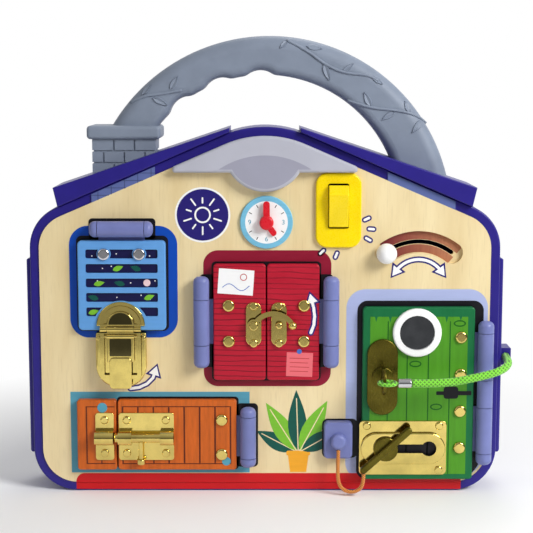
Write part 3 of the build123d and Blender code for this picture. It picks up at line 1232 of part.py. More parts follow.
block_left = CHAIN_BLOCK_X - CHAIN_BLOCK_W / 2
block_right = CHAIN_BLOCK_X + CHAIN_BLOCK_W / 2
block_front = BOARD_FRONT - CHAIN_BLOCK_T
block_shape = panel(block_left, block_right, CHAIN_BLOCK_LOW, CHAIN_BLOCK_HIGH, CHAIN_BLOCK_R)
chain_block = soften(slab(block_shape, BOARD_FRONT, block_front), block_front, 1.5)
block_knob = rod_y(CHAIN_BLOCK_X, CHAIN_KNOB_Z, block_front, block_front - CHAIN_KNOB_H, CHAIN_KNOB_R)
chain_block += soften(block_knob, block_front - CHAIN_KNOB_H, 2.6)
chain_cord_y = block_front - CHAIN_KNOB_H / 2
paddle_reach = PADDLE_L / 2 - PADDLE_W / 2
paddle_tip_x = CHAIN_START_X - paddle_reach * cos(radians(PADDLE_ANGLE))
paddle_tip_z = CHAIN_Z - paddle_reach * sin(radians(PADDLE_ANGLE))
paddle_mid_y = disc_front - PADDLE_T / 2
chain_cord_start_z = CHAIN_KNOB_Z - CHAIN_KNOB_R - GAP
chain_cord_end_z = paddle_tip_z - PADDLE_W / 2 - GAP
chain_low_z = CHAIN_CORD_LOW + CHAIN_CORD_D / 2
chain_span = paddle_tip_x - CHAIN_BLOCK_X
chain_cut = chain_span * 0.29
chain_bend_z = chain_low_z + chain_cut
chain_points = [
    (CHAIN_BLOCK_X, chain_cord_y, chain_cord_start_z),
    (CHAIN_BLOCK_X - 0.5, chain_cord_y - 0.8, chain_bend_z + 11.5),
    (CHAIN_BLOCK_X, chain_cord_y - 1.2, chain_bend_z),
    (CHAIN_BLOCK_X + chain_cut, chain_cord_y - 2.0, chain_low_z),
    (paddle_tip_x - chain_cut, paddle_mid_y + 1.2, chain_low_z),
    (paddle_tip_x, paddle_mid_y + 0.2, chain_bend_z),
    (paddle_tip_x, paddle_mid_y, chain_cord_end_z),
]
chain_cord, chain_cord_radii = cord(chain_points, CHAIN_CORD_D)
print("chain cord bend radii", [round(r, 1) for r in chain_cord_radii])

# Front board, cut for everything it carries

front_board = slab(house(RIM), BOARD_BACK, BOARD_FRONT)
front_board -= slab(arc_band(CHANNEL_W), BOARD_FRONT + CHANNEL_DEEP, BOARD_FRONT - 1)
front_board -= slab(arc_band(SLOT_W), BOARD_BACK + 1, BOARD_FRONT - 1)
front_board -= slab(offset(body_shape, FIT), BOARD_BACK + 1, BOARD_FRONT - 1)
front_board -= rod_y(CLOCK_X, CLOCK_Z, BOARD_BACK + 1, BOARD_FRONT - 1, SPINDLE_R + RUN)
front_board -= rod_y(0, disc_z + MODULE_H, BOARD_BACK + 1, BOARD_FRONT - 1, WIRE_HOLE_R)
front_board -= rod_y(ARC_X, ARC_Z, BOARD_BACK + 1, BOARD_BACK - SCREW_BITE - FIT, PIVOT_R + FIT)
for post_x, post_z in post_places:
    front_board -= rod_y(post_x, post_z, BOARD_BACK + 1, BOARD_BACK - SCREW_BITE - FIT, SCREW_R + FIT)
cam_slot = place(LOCK_X, LOCK_Z, SlotOverall(CAM_SLOT_H, CAM_SLOT_W, rotation=90))
cam_slot += place(LOCK_X, LOCK_Z, Circle(PLUG_R + 1.5))
front_board -= slab(cam_slot, BOARD_BACK + 1, BOARD_FRONT - 1)
front_board -= rod_y(LOCK_X, LOCK_Z, BOARD_BACK + 1, BOARD_FRONT + CAM_LIP, CAM_CHAMBER_R)

pivot_list = [
    clock_spindle,
    slide_pivot,
    window_place(hinge_pin(WINDOW_HINGE_L)),
    red_pin_left,
    red_pin_right,
    orange_place(hinge_pin(ORANGE_HINGE_L)),
    green_place(hinge_pin(GREEN_HINGE_L)),
]

bracket_list = window_bracket + red_bracket_left + red_bracket_right + orange_bracket + green_bracket

nodes = {
    "rear_shell": rear_shell,
    "front_board": front_board,
    "roof_plate_left": roof_left,
    "roof_plate_right": roof_right,
    "side_rails": side_rails,
    "handle": handle,
    "chimney": chimney,
    "roof_feet": roof_feet,
    "lamp_cover": lamp_cover,
    "lamp_module": lamp_module,
    "switch_plate": switch_plate,
    "switch_body": switch_body,
    "switch_rocker": switch_rocker,
    "clock_dial": clock_dial,
    "clock_hour_hand": hour_hand,
    "clock_minute_hand": minute_hand,
    "pivot_pins": Compound(children=pivot_list),
    "arc_slide_knob": slide_knob,
    "window_shutter": window_shutter,
    "window_hinge_leaf": window_hinge_leaf,
    "window_rivets": Compound(children=window_rivet_list),
    "latch_rose": latch_rose,
    "latch_flap": latch_flap,
    "latch_lever": latch_lever,
    "latch_base": latch_base,
    "board_rivets": Compound(children=board_rivet_list),
    "red_leaf_left": red_leaf_left,
    "red_hinge_leaf_left": red_hinge_leaf_left,
    "red_rivets_left": Compound(children=red_rivet_list_left),
    "red_leaf_right": red_leaf_right,
    "red_hinge_leaf_right": red_hinge_leaf_right,
    "red_rivets_right": Compound(children=red_rivet_list_right),
    "hook_plate": hook_plate,
    "swing_hook": swing_hook,
    "stud_plate": stud_plate,
    "orange_panel": orange_panel,
    "orange_door": orange_door,
    "orange_hinge_leaf": orange_hinge_leaf,
    "orange_rivets": Compound(children=orange_rivet_list),
    "bolt_housing": bolt_housing,
    "bolt_rod": bolt_rod,
    "bolt_strike": bolt_strike,
    "hinge_brackets": Compound(children=bracket_list),
    "green_door": green_door,
    "green_hinge_leaf": green_hinge_leaf,
    "green_rivets": Compound(children=green_rivet_list),
    "mirror_ring": mirror_ring,
    "mirror_glass": mirror_glass,
    "escutcheon": escutcheon,
    "lock_plug": lock_plug,
    "key": key,
    "key_loop": key_loop,
    "crimp_sleeve": crimp_sleeve,
    "key_cord": key_cord,
    "chain_plate": chain_plate,
    "chain_slider": chain_slider,
    "chain_block": chain_block,
    "chain_cord": chain_cord,
    "battery_cover": battery_cover,
    "case_screws": case_screws,
}
for name, solid in nodes.items():
    export_step(solid, f"parts/{name}.step")
print(len(nodes), "nodes")
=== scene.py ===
from math import atan2, cos, hypot, pi, radians, sin, sqrt

import bmesh
import bpy
from mathutils import Matrix, Vector


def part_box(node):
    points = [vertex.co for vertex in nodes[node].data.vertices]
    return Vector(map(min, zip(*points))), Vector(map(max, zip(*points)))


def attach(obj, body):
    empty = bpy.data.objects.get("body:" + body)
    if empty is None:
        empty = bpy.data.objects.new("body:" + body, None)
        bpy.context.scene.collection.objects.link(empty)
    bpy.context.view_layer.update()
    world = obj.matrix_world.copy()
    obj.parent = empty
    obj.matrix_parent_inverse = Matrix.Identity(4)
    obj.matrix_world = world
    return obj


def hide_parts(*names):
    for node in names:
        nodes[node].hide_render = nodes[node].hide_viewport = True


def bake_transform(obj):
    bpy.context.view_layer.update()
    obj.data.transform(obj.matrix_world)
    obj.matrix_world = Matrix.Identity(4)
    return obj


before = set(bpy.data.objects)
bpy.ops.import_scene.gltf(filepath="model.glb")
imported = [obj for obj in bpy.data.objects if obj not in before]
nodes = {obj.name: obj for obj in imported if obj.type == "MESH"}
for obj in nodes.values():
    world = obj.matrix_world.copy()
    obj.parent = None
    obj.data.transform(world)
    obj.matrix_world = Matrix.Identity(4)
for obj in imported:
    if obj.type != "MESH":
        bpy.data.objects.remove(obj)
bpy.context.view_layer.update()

# Sizes are in millimetres until a mesh is made; X is right, Z is up and the front faces -Y.
MM = 0.001
IMAGE_SIZE = 533

# Camera
CAMERA_DISTANCE = 0.978
CAMERA_ELEVATION = 8.0
CAMERA_TARGET_Z = 0.150
FOCAL_PIXELS = 1401.0
PHOTO_CENTRE_X = 265.0
PHOTO_TARGET_Y = 272.0

# Stage
SHADOW_NEAR = 0.20
SHADOW_FAR = 0.42
FLOOR_R, FLOOR_Z = 0.55, -0.0002
LIGHT_TARGET = (0.0, 0.0, 0.15)
ROOM_DIM, ROOM_TOP, ROOM_LOW = 0.12, 0.62, 0.45
SEEN_RAYS = ("Is Camera Ray", "Is Glossy Ray", "Is Transmission Ray")

# Prints
PRINT_T = 0.06
ARROW_LINE = 2.0
ARROW_EDGE = 1.1
ARROW_HEAD_L = 6.4
ARROW_HEAD_W = 7.4
HEAD_REACH = 0.55
EDGE_REACH, EDGE_HEAD_L, EDGE_HEAD_W = 1.7, 2.8, 3.6
LAYER_STEP = 0.3

# Front surfaces, read from the parts of model.glb


def front_of(node):
    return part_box(node)[0].y / MM


board_y = front_of("front_board")
rim_y = front_of("rear_shell")
door_y = front_of("green_door")
handle_y = front_of("handle")
dial_y = front_of("clock_dial")
lamp_y = front_of("lamp_cover")


def linear(red, green, blue):
    """A colour given in 0 to 255 screen values, as scene-linear."""
    out = []
    for value in (red, green, blue):
        share = value / 255
        out.append(share / 12.92 if share <= 0.04045 else ((share + 0.055) / 1.055) ** 2.4)
    return out


PURPLE = linear(38, 28, 126)
BIRCH = linear(242, 224, 178)
BIRCH_DARK = linear(224, 200, 148)
GREY = linear(128, 138, 155)
FOOT_BLUE = linear(92, 106, 162)
FROST = linear(206, 207, 220)
LENS = linear(178, 178, 196)
YELLOW = linear(250, 218, 0)
NAVY = linear(12, 12, 66)
INK = linear(36, 26, 112)
WHITE = linear(246, 246, 246)
RED = linear(182, 20, 46)
RED_DARK = linear(86, 4, 24)
CRIMSON = linear(140, 13, 46)
BAND_RED = linear(200, 16, 24)
BLUE = linear(0, 72, 178)
SKY = linear(98, 158, 220)
TEAL = linear(84, 156, 180)
ORANGE = linear(200, 96, 28)
ORANGE_DARK = linear(96, 36, 12)
GREEN = linear(76, 146, 30)
GREEN_DARK = linear(12, 106, 58)
LAVENDER = linear(172, 182, 222)
HINGE = linear(116, 124, 180)
DIAL = linear(118, 188, 218)
HAND_RED = linear(216, 30, 44)
BRASS = linear(236, 212, 122)
# Rough brass whose colour is also darkened as a painted reflection of a dim room.
BRASS_PAINTED_DARKER = linear(112, 102, 40)
# Brass colour darkened to stand in for the reflection of a dim room: painted reflection.
BRASS_PAINTED_DARK_REFLECTION = linear(92, 84, 52)
STEEL = linear(190, 190, 194)
CORD_GREEN = linear(120, 205, 50)
CORD_ORANGE = linear(214, 132, 52)
PINK = linear(232, 110, 118)
# DARK is the black plastic's own colour and also the colour of painted shade in the dark prints.
DARK = linear(16, 14, 22)
SMOKE = linear(92, 94, 98)
SMOKE_HAZE = linear(112, 114, 118)
CHANNEL_DARK = linear(120, 22, 34)
CHANNEL_LIGHT = linear(188, 124, 84)
PAPER_DULL = linear(246, 246, 247)
PAPER = linear(250, 250, 250)


# Materials

# A wave texture turns this many radians per unit at scale 1.
WAVE_RATE = 20.0
BRAID_LEAN = 48


def tune(node, **values):
    """Set a node's inputs by name, with _ for a space."""
    for name, value in values.items():
        node.inputs[name.replace("_", " ")].default_value = value


def calc(tree, operation, first, second):
    """Output of a math node that takes two sockets."""
    node = tree.nodes.new("ShaderNodeMath")
    node.operation = operation
    tree.links.new(first, node.inputs[0])
    tree.links.new(second, node.inputs[1])
    return node.outputs["Value"]


def ramp(tree, value, low, high, start, end):
    """Map a value between start and end onto low to high."""
    node = tree.nodes.new("ShaderNodeMapRange")
    tune(node, From_Min=start, From_Max=end, To_Min=low, To_Max=high)
    tree.links.new(value, node.inputs["Value"])
    return node.outputs["Result"]


class Graph:
    """A material's node tree with short calls for adding and joining nodes."""

    def __init__(self, name):
        self.material = bpy.data.materials.new(name)
        self.material.use_nodes = True
        self.tree = self.material.node_tree
        self.shader = self.tree.nodes["Principled BSDF"]

    def add(self, kind, **values):
        node = self.tree.nodes.new(kind)
        for key, value in values.items():
            setattr(node, key, value)
        return node

    def join(self, out_socket, in_socket):
        self.tree.links.new(out_socket, in_socket)

    def feed(self, name, value):
        """Join a value to one of the shader's inputs."""
        self.join(value, self.shader.inputs[name])

    def tint(self, share, first, second):
        self.feed("Base Color", self.mix(share, first, second))

    def dull(self, value, low, high, start=0.3, end=0.7):
        self.feed("Roughness", self.span(value, low, high, start, end))

    def set(self, **values):
        tune(self.shader, **values)

    def here(self):
        return self.add("ShaderNodeTexCoord").outputs["Object"]

    def place(self, stretch=(1, 1, 1), turn=(0, 0, 0)):
        """Object coordinates, squeezed along each axis or turned."""
        mapping = self.add("ShaderNodeMapping")
        tune(mapping, Scale=stretch, Rotation=turn)
        self.join(self.here(), mapping.inputs["Vector"])
        return mapping.outputs["Vector"]

    def noise(self, scale, stretch=(1, 1, 1), detail=4.0, rough=0.55):
        node = self.add("ShaderNodeTexNoise")
        tune(node, Scale=scale, Detail=detail, Roughness=rough)
        self.join(self.place(stretch), node.inputs["Vector"])
        return node.outputs["Fac"]

    def span(self, value, low, high, start=0.3, end=0.7):
        return ramp(self.tree, value, low, high, start, end)

    def mix(self, share, first, second):
        node = self.add("ShaderNodeMix", data_type="RGBA")
        self.join(share, node.inputs["Factor"])
        for socket, colour in (("A", first), ("B", second)):
            slot = [s for s in node.inputs if s.name == socket and s.type == "RGBA"][0]
            if isinstance(colour, (list, tuple)):
                slot.default_value = (*colour, 1.0)
            else:
                self.join(colour, slot)
        return [s for s in node.outputs if s.type == "RGBA"][0]

    def bump(self, height, strength, distance):
        node = self.add("ShaderNodeBump")
        tune(node, Strength=strength, Distance=distance)
        self.join(height, node.inputs["Height"])
        self.feed("Normal", node.outputs["Normal"])


def shade(colour, factor):
    return [min(1.0, c * factor) for c in colour]


def moulded(name, colour, rough=0.42, scale=900.0, depth=0.00004):
    """Moulded plastic with a fine skin texture and a faint cloudiness of colour."""
    graph = Graph(name)
    cloud = graph.noise(60.0)
    share = graph.span(cloud, 0.0, 1.0)
    graph.tint(share, shade(colour, 0.93), shade(colour, 1.06))
    grain = graph.noise(scale, detail=2.0)
    graph.dull(grain, rough - 0.06, rough + 0.08)
    graph.bump(grain, strength=0.35, distance=depth)
    graph.set(Specular_IOR_Level=0.35)
    return graph.material


def painted(name, colour, along="x", rough=0.38, vary=0.10):
    """Painted or printed wood with its grain showing through a little."""
    graph = Graph(name)
    stretch = {"x": (1.0, 8.0, 8.0), "z": (8.0, 8.0, 1.0)}[along]
    grain = graph.noise(55.0, stretch, detail=6.0, rough=0.6)
    share = graph.span(grain, 0.0, 1.0, 0.25, 0.75)
    graph.tint(share, shade(colour, 1 - vary), shade(colour, 1 + vary))
    graph.dull(grain, rough - 0.06, rough + 0.10)
    fine = graph.noise(160.0, stretch, detail=3.0)
    graph.bump(fine, strength=0.25, distance=0.00005)
    graph.set(Specular_IOR_Level=0.3)
    return graph.material


def plywood(name):
    """Pale plywood with upright grain, soft figure and fine pores."""
    graph = Graph(name)
    figure = graph.noise(14.0, stretch=(3.0, 3.0, 0.6), detail=5.0)
    pores = graph.noise(190.0, stretch=(5.0, 5.0, 0.35), detail=3.0)
    tone = graph.mix(graph.span(figure, 0.0, 1.0), BIRCH_DARK, BIRCH)
    pore_share = graph.span(pores, 0.0, 0.35, 0.55, 0.75)
    graph.tint(pore_share, tone, shade(BIRCH_DARK, 0.82))
    graph.dull(pores, 0.40, 0.55)
    graph.bump(pores, strength=0.2, distance=0.00004)
    graph.set(Coat_Weight=0.1, Coat_Roughness=0.3)
    return graph.material


def ruled_red(name):
    """Red paint crossed by thin, wavering dark lines."""
    graph = Graph(name)
    wave = graph.add("ShaderNodeTexWave", bands_direction="Z", wave_profile="SAW")
    tune(wave, Scale=88.0, Distortion=5.0, Detail=2.0, Detail_Scale=0.6)
    graph.join(graph.place((0.35, 1.0, 1.0)), wave.inputs["Vector"])
    line = graph.span(wave.outputs["Fac"], 1.0, 0.0, 0.0, 0.26)
    breaks = graph.span(graph.noise(22.0, stretch=(1.0, 1.0, 2.4)), 0.45, 1.0, 0.36, 0.5)
    drawn = calc(graph.tree, "MULTIPLY", line, breaks)
    cloud = graph.span(graph.noise(30.0, stretch=(1.0, 1.0, 3.0)), 0.0, 1.0)
    ground = graph.mix(cloud, shade(RED, 0.92), shade(RED, 1.08))
    graph.tint(drawn, ground, RED_DARK)
    graph.dull(cloud, 0.34, 0.46, 0.0, 1.0)
    graph.bump(line, strength=0.15, distance=0.00003)
    graph.set(Specular_IOR_Level=0.3)
    return graph.material


def metal(name, colour, rough, tarnish=0.75):
    """Polished or dulled metal with faint smears and handling marks."""
    graph = Graph(name)
    smear = graph.noise(70.0, stretch=(1.0, 1.0, 1.0), detail=5.0)
    share = graph.span(smear, 0.0, 1.0, 0.35, 0.7)
    graph.tint(share, colour, shade(colour, tarnish))
    scratch = graph.noise(420.0, stretch=(6.0, 1.0, 1.0), detail=2.0)
    graph.dull(scratch, rough * 0.7, rough * 1.5)
    graph.bump(smear, strength=0.06, distance=0.0002)
    graph.set(Metallic=1.0)
    return graph.material


def frosted(name, colour):
    """Milky plastic that light soaks into."""
    graph = Graph(name)
    cloud = graph.noise(45.0)
    graph.tint(graph.span(cloud, 0.0, 1.0), shade(colour, 0.94), colour)
    grain = graph.noise(1300.0, detail=1.0)
    graph.dull(grain, 0.40, 0.58)
    graph.bump(grain, strength=0.25, distance=0.00003)
    graph.set(Transmission_Weight=0.25, IOR=1.42)
    return graph.material


def looking_glass(name):
    """Small smoky mirror with a faint haze."""
    graph = Graph(name)
    haze = graph.noise(120.0)
    graph.tint(graph.span(haze, 0.0, 1.0), SMOKE, SMOKE_HAZE)
    graph.dull(haze, 0.02, 0.06)
    graph.set(Metallic=1.0)
    return graph.material


def braided(name, colour, pitch):
    """Braid of strands that cross each other in front view, a pitch in millimetres apart, with painted shade in the
    hollows between strands and painted highlight on their tops.
    """
    graph = Graph(name)
    heights = []
    for lean in (1.0, -1.0):
        wave = graph.add("ShaderNodeTexWave", bands_direction="X")
        tune(wave, Scale=2 * pi / (WAVE_RATE * pitch * MM))
        leaning = graph.place(turn=(0.0, lean * radians(BRAID_LEAN), 0.0))
        graph.join(leaning, wave.inputs["Vector"])
        heights.append(wave.outputs["Fac"])
    weave = calc(graph.tree, "MAXIMUM", *heights)
    share = graph.span(weave, 0.0, 1.0, 0.3, 0.95)
    # painted shade where the strands sink and painted highlight on their raised tops
    graph.tint(share, shade(colour, 0.4), shade(colour, 1.2))
    fuzz = graph.noise(2400.0, detail=2.0)
    graph.dull(fuzz, 0.62, 0.86)
    graph.bump(weave, strength=0.8, distance=0.0003)
    graph.set(Sheen_Weight=0.3)
    return graph.material


def fading(name, first, second, left, right):
    """Print that fades from one colour to another along X."""
    graph = Graph(name)
    parts = graph.add("ShaderNodeSeparateXYZ")
    graph.join(graph.here(), parts.inputs["Vector"])
    share = graph.span(parts.outputs["X"], 0.0, 1.0, left * MM, right * MM)
    grain = graph.span(graph.noise(90.0, stretch=(5.0, 5.0, 1.0)), 0.0, 0.25)
    tone = graph.mix(share, first, second)
    graph.tint(grain, tone, shade(first, 0.6))
    graph.dull(grain, 0.45, 0.6, 0.0, 0.25)
    return graph.material


purple = moulded("purple_moulded", PURPLE, rough=0.36)
grey = moulded("grey_moulded", GREY, rough=0.5, scale=700.0)
foot_blue = moulded("foot_blue_moulded", FOOT_BLUE, rough=0.45)
yellow = moulded("yellow_moulded", YELLOW, rough=0.28)
hinge_plastic = moulded("hinge_moulded", HINGE, rough=0.34)
white_plastic = moulded("white_moulded", WHITE, rough=0.25)
black_plastic = moulded("black_moulded", DARK, rough=0.45)
circuit = moulded("circuit_board", linear(30, 90, 54), rough=0.4)
hand_plastic = moulded("hand_moulded", HAND_RED, rough=0.3)
birch = plywood("birch_plywood")
dial_paint = painted("dial_paint", DIAL)
sky_paint = painted("sky_paint", SKY, along="x", vary=0.05)
red_paint = ruled_red("red_ruled_paint")
orange_paint = painted("orange_paint", ORANGE, along="z", vary=0.22)
green_border = painted("green_border_paint", GREEN_DARK, along="z", vary=0.08)
green_plank = painted("green_plank_paint", GREEN, along="z", vary=0.12)
brass = metal("polished_brass", BRASS, rough=0.09, tarnish=0.74)
# dull brass, its colour also darkened as a painted reflection of a dim room
brass_painted_darker = metal("dull_brass_painted_darker", BRASS_PAINTED_DARKER, rough=0.30, tarnish=0.60)
# brass with a darkened colour as a painted reflection of a dim room
brass_painted_dark_reflection = metal("brass_painted_dark_reflection", BRASS_PAINTED_DARK_REFLECTION, rough=0.07, tarnish=0.80)
steel = metal("plain_steel", STEEL, rough=0.26, tarnish=0.80)
bright_steel = metal("bright_steel", linear(224, 224, 228), rough=0.12, tarnish=0.85)
frost = frosted("frosted_plastic", FROST)
lens_tone = frosted("frosted_lens", LENS)
mirror = looking_glass("mirror_silver")
green_braid = braided("green_braid", CORD_GREEN, pitch=1.9)
orange_braid = braided("orange_braid", CORD_ORANGE, pitch=1.2)
ink_print = painted("ink_print", INK, vary=0.05)
white_print = painted("white_print", WHITE, vary=0.02)
navy_print = painted("navy_print", NAVY, vary=0.15)
# dark print for real ink such as the clock's ticks, and also for painted shade in door openings, hinge gaps and
# under the chain slot
dark_ink_and_shade_print = painted("dark_ink_and_shade_print", DARK, vary=0.15)
crimson_print = painted("crimson_print", CRIMSON, vary=0.06)
band_print = painted("band_print", BAND_RED, vary=0.05)
blue_print = painted("blue_print", BLUE, vary=0.05)
teal_print = painted("teal_print", TEAL, vary=0.05)
lavender_print = painted("lavender_print", LAVENDER, vary=0.04)
groove_print = painted("groove_print", ORANGE_DARK, along="z", vary=0.15)
plank_line_print = painted("plank_line_print", linear(24, 96, 20), along="z", vary=0.1)
leaf_dark_print = painted("leaf_dark_print", linear(10, 84, 72), vary=0.1)
leaf_light_print = painted("leaf_light_print", linear(122, 190, 50), vary=0.08)
pot_print = painted("pot_print", linear(240, 168, 40), vary=0.06)
foot_joint_print = painted("foot_joint_print", shade(FOOT_BLUE, 0.5), vary=0.05)
pink_print = painted("pink_print", PINK, vary=0.04)
pale_print = painted("pale_print", linear(238, 206, 210), vary=0.04)
line_red_print = painted("line_red_print", linear(190, 60, 60), vary=0.05)
line_blue_print = painted("line_blue_print", linear(70, 110, 190), vary=0.05)

node_looks = (
    (purple, "rear_shell roof_plate_left roof_plate_right side_rails battery_cover"),
    (birch, "front_board"),
    (grey, "handle chimney"),
    (foot_blue, "roof_feet"),
    (frost, "lamp_cover"),
    (circuit, "lamp_module"),
    (yellow, "switch_plate switch_rocker"),
    (black_plastic, "switch_body"),
    (dial_paint, "clock_dial"),
    (hand_plastic, "clock_hour_hand clock_minute_hand"),
    (steel, "pivot_pins case_screws"),
    (white_plastic, "arc_slide_knob mirror_ring"),
    (sky_paint, "window_shutter"),
    (hinge_plastic, "window_hinge_leaf red_hinge_leaf_left red_hinge_leaf_right orange_hinge_leaf "
                    "hinge_brackets green_hinge_leaf chain_block"),
    (bright_steel, "window_rivets crimp_sleeve"),
    (brass, "latch_rose latch_flap latch_lever latch_base board_rivets red_rivets_left "
            "red_rivets_right hook_plate swing_hook stud_plate orange_rivets bolt_housing bolt_rod "
            "bolt_strike green_rivets chain_plate"),
    (red_paint, "red_leaf_left red_leaf_right"),
    (orange_paint, "orange_panel orange_door"),
    (green_border, "green_door"),
    (mirror, "mirror_glass"),
    (brass_painted_darker, "escutcheon lock_plug key chain_slider"),
    (green_braid, "key_loop key_cord"),
    (orange_braid, "chain_cord"),
)
for look, named in node_looks:
    for node_name in named.split():
        mesh = nodes[node_name].data
        mesh.materials.clear()
        mesh.materials.append(look)


# Outlines in front view, as lists of (x, z)


def polar(x, z, radius, angle):
    """The point that far from x, z at an angle in degrees, counted from +X towards +Z."""
    return x + radius * cos(radians(angle)), z + radius * sin(radians(angle))


def arc(x, z, radius, start, end, steps=16):
    """Points on a circle between two angles."""
    return [polar(x, z, radius, start + (end - start) * n / steps) for n in range(steps + 1)]


def disc(x, z, radius, steps=48):
    return arc(x, z, radius, 0, 360, steps)[:-1]


def oval(x, z, half_w, half_h, steps=28):
    return [(x + half_w * cos(2 * pi * n / steps), z + half_h * sin(2 * pi * n / steps)) for n in range(steps)]


def rectangle(left, right, low, high):
    return [(left, low), (right, low), (right, high), (left, high)]


def rounded(left, right, low, high, radius, low_right=None):
    """Rounded rectangle; low_right is that corner's own radius."""
    corner = radius if low_right is None else low_right
    out = arc(right - corner, low + corner, corner, -90, 0)
    out += arc(right - radius, high - radius, radius, 0, 90)
    out += arc(left + radius, high - radius, radius, 90, 180)
    out += arc(left + radius, low + radius, radius, 180, 270)
    return out


def stroke(points, width):
    """Outline of a line of that width through the points, with round ends."""
    half = width / 2
    left, right = [], []
    for n, (x, z) in enumerate(points):
        before = points[max(n - 1, 0)]
        after = points[min(n + 1, len(points) - 1)]
        along = Vector((after[0] - before[0], after[1] - before[1])).normalized()
        left.append((x - along.y * half, z + along.x * half))
        right.append((x + along.y * half, z - along.x * half))
    start_angle = degrees_of(points[1], points[0])
    end_angle = degrees_of(points[-2], points[-1])
    end_cap = arc(*points[-1], half, end_angle - 90, end_angle + 90, 8)
    start_cap = arc(*points[0], half, start_angle - 90, start_angle + 90, 8)
    return right + end_cap + left[::-1] + start_cap


def degrees_of(start, end):
    return atan2(end[1] - start[1], end[0] - start[0]) * 180 / pi


def head(tip, angle, length, width):
    """Triangle of an arrow head that points along an angle."""
    way = Vector(polar(0, 0, 1, angle))
    across = Vector((-way.y, way.x))
    base = Vector(tip) - way * length
    return [tuple(tip), tuple(base + across * width / 2), tuple(base - across * width / 2)]


def leaf(x, z, angle, length, width, steps=10):
    """Pointed leaf that grows from x, z along an angle."""
    way = Vector(polar(0, 0, 1, angle))
    across = Vector((-way.y, way.x))
    root = Vector((x, z))
    upper, lower = [], []
    for n in range(steps + 1):
        share = n / steps
        half = width / 2 * sin(pi * share ** 0.8)
        upper.append(tuple(root + way * length * share + across * half))
        lower.append(tuple(root + way * length * share - across * half))
    return upper + lower[-2:0:-1]


def turned(points, x, z, angle):
    """The points turned about x, z."""
    c, s = cos(radians(angle)), sin(radians(angle))
    return [(x + (px - x) * c - (pz - z) * s, z + (px - x) * s + (pz - z) * c) for px, pz in points]


# Meshes


def put(name, data):
    """A new object in the scene."""
    thing = bpy.data.objects.new(name, data)
    bpy.context.scene.collection.objects.link(thing)
    return thing


def finish_piece(name, mesh_data, material, body):
    mesh = bpy.data.meshes.new(name)
    bmesh.ops.recalc_face_normals(mesh_data, faces=mesh_data.faces)
    mesh_data.to_mesh(mesh)
    mesh_data.free()
    return coated(name, mesh, material, body)


def coated(name, mesh, material, body):
    """A mesh made into a piece of one material, which rides on a body if one is named."""
    mesh.materials.clear()
    mesh.materials.append(material)
    piece = put(name, mesh)
    if body:
        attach(piece, body)
    return piece


def bridge(mesh_data, near, far, smooth=False):
    """Faces between two rings that have the same number of points."""
    for n in range(len(near)):
        after = (n + 1) % len(near)
        mesh_data.faces.new((near[n], near[after], far[after], far[n])).smooth = smooth


def flat_print(name, outlines, depth, material, body, layer=1):
    """Thin printed areas that lie on a surface at one depth; a higher layer lies on a lower one."""
    mesh_data = bmesh.new()
    front = (depth - PRINT_T * layer) * MM
    back = (depth + PRINT_T) * MM
    for outline in outlines:
        loops = []
        for y in (back, front):
            loops.append([mesh_data.verts.new((x * MM, y, z * MM)) for x, z in outline])
        mesh_data.faces.new(loops[0])
        mesh_data.faces.new(loops[1][::-1])
        bridge(mesh_data, *loops)
    return finish_piece(name, mesh_data, material, body)


def printer(depth, body):
    """A function that prints on one surface."""
    def on_it(name, outlines, material, layer=1):
        return flat_print(name, outlines, depth, material, body, layer)
    return on_it


def ring_print(name, outer, inner, depth, material, body, layer=1):
    """Thin printed ring between two outlines that have the same number of points."""
    mesh_data = bmesh.new()
    front = (depth - PRINT_T * layer) * MM
    back = (depth + PRINT_T) * MM
    loops = []
    for outline, y in ((outer, front), (inner, front), (inner, back), (outer, back)):
        loops.append([mesh_data.verts.new((x * MM, y, z * MM)) for x, z in outline])
    for near, far in zip(loops, loops[1:] + loops[:1]):
        bridge(mesh_data, near, far)
    return finish_piece(name, mesh_data, material, body)


def arrow_print(name, points, heads, depth, body, layer=1):
    """White arrow with an ink edge along the points; heads is 1 or 2."""
    end_angle = degrees_of(points[-2], points[-1])
    start_angle = degrees_of(points[1], points[0])
    for part, grow, material, lift in (("edge", ARROW_EDGE, ink_print, 0), ("core", 0.0, white_print, 1)):
        shapes = [stroke(points, ARROW_LINE + 2 * grow)]
        ends = [(points[-1], end_angle)]
        if heads == 2:
            ends.append((points[0], start_angle))
        for (x, z), angle in ends:
            tip = polar(x, z, ARROW_HEAD_L * HEAD_REACH + grow * EDGE_REACH, angle)
            shapes.append(head(tip, angle, ARROW_HEAD_L + grow * EDGE_HEAD_L, ARROW_HEAD_W + grow * EDGE_HEAD_W))
        for n, shape in enumerate(shapes):
            height = layer + lift + LAYER_STEP * n
            flat_print(f"{name}_{part}_{n}", [shape], depth, material, body, height)


def tube(name, points, radius, material, sides=12):
    """Round tube along points in metres."""
    mesh_data = bmesh.new()
    rings = []
    across = None
    for n, point in enumerate(points):
        before = points[max(n - 1, 0)]
        after = points[min(n + 1, len(points) - 1)]
        along = (after - before).normalized()
        if across is None:
            across = along.orthogonal().normalized()
        across = (across - along * across.dot(along)).normalized()
        side = along.cross(across)
        ring = []
        for k in range(sides):
            turn = 2 * pi * k / sides
            ring.append(mesh_data.verts.new(point + across * radius * cos(turn) + side * radius * sin(turn)))
        rings.append(ring)
    for near, far in zip(rings, rings[1:]):
        bridge(mesh_data, near, far, smooth=True)
    mesh_data.faces.new(rings[0][::-1])
    mesh_data.faces.new(rings[-1])
    return finish_piece(name, mesh_data, material, None)


# Cords: the routes are the control points of the CAD cords, each from the case outwards

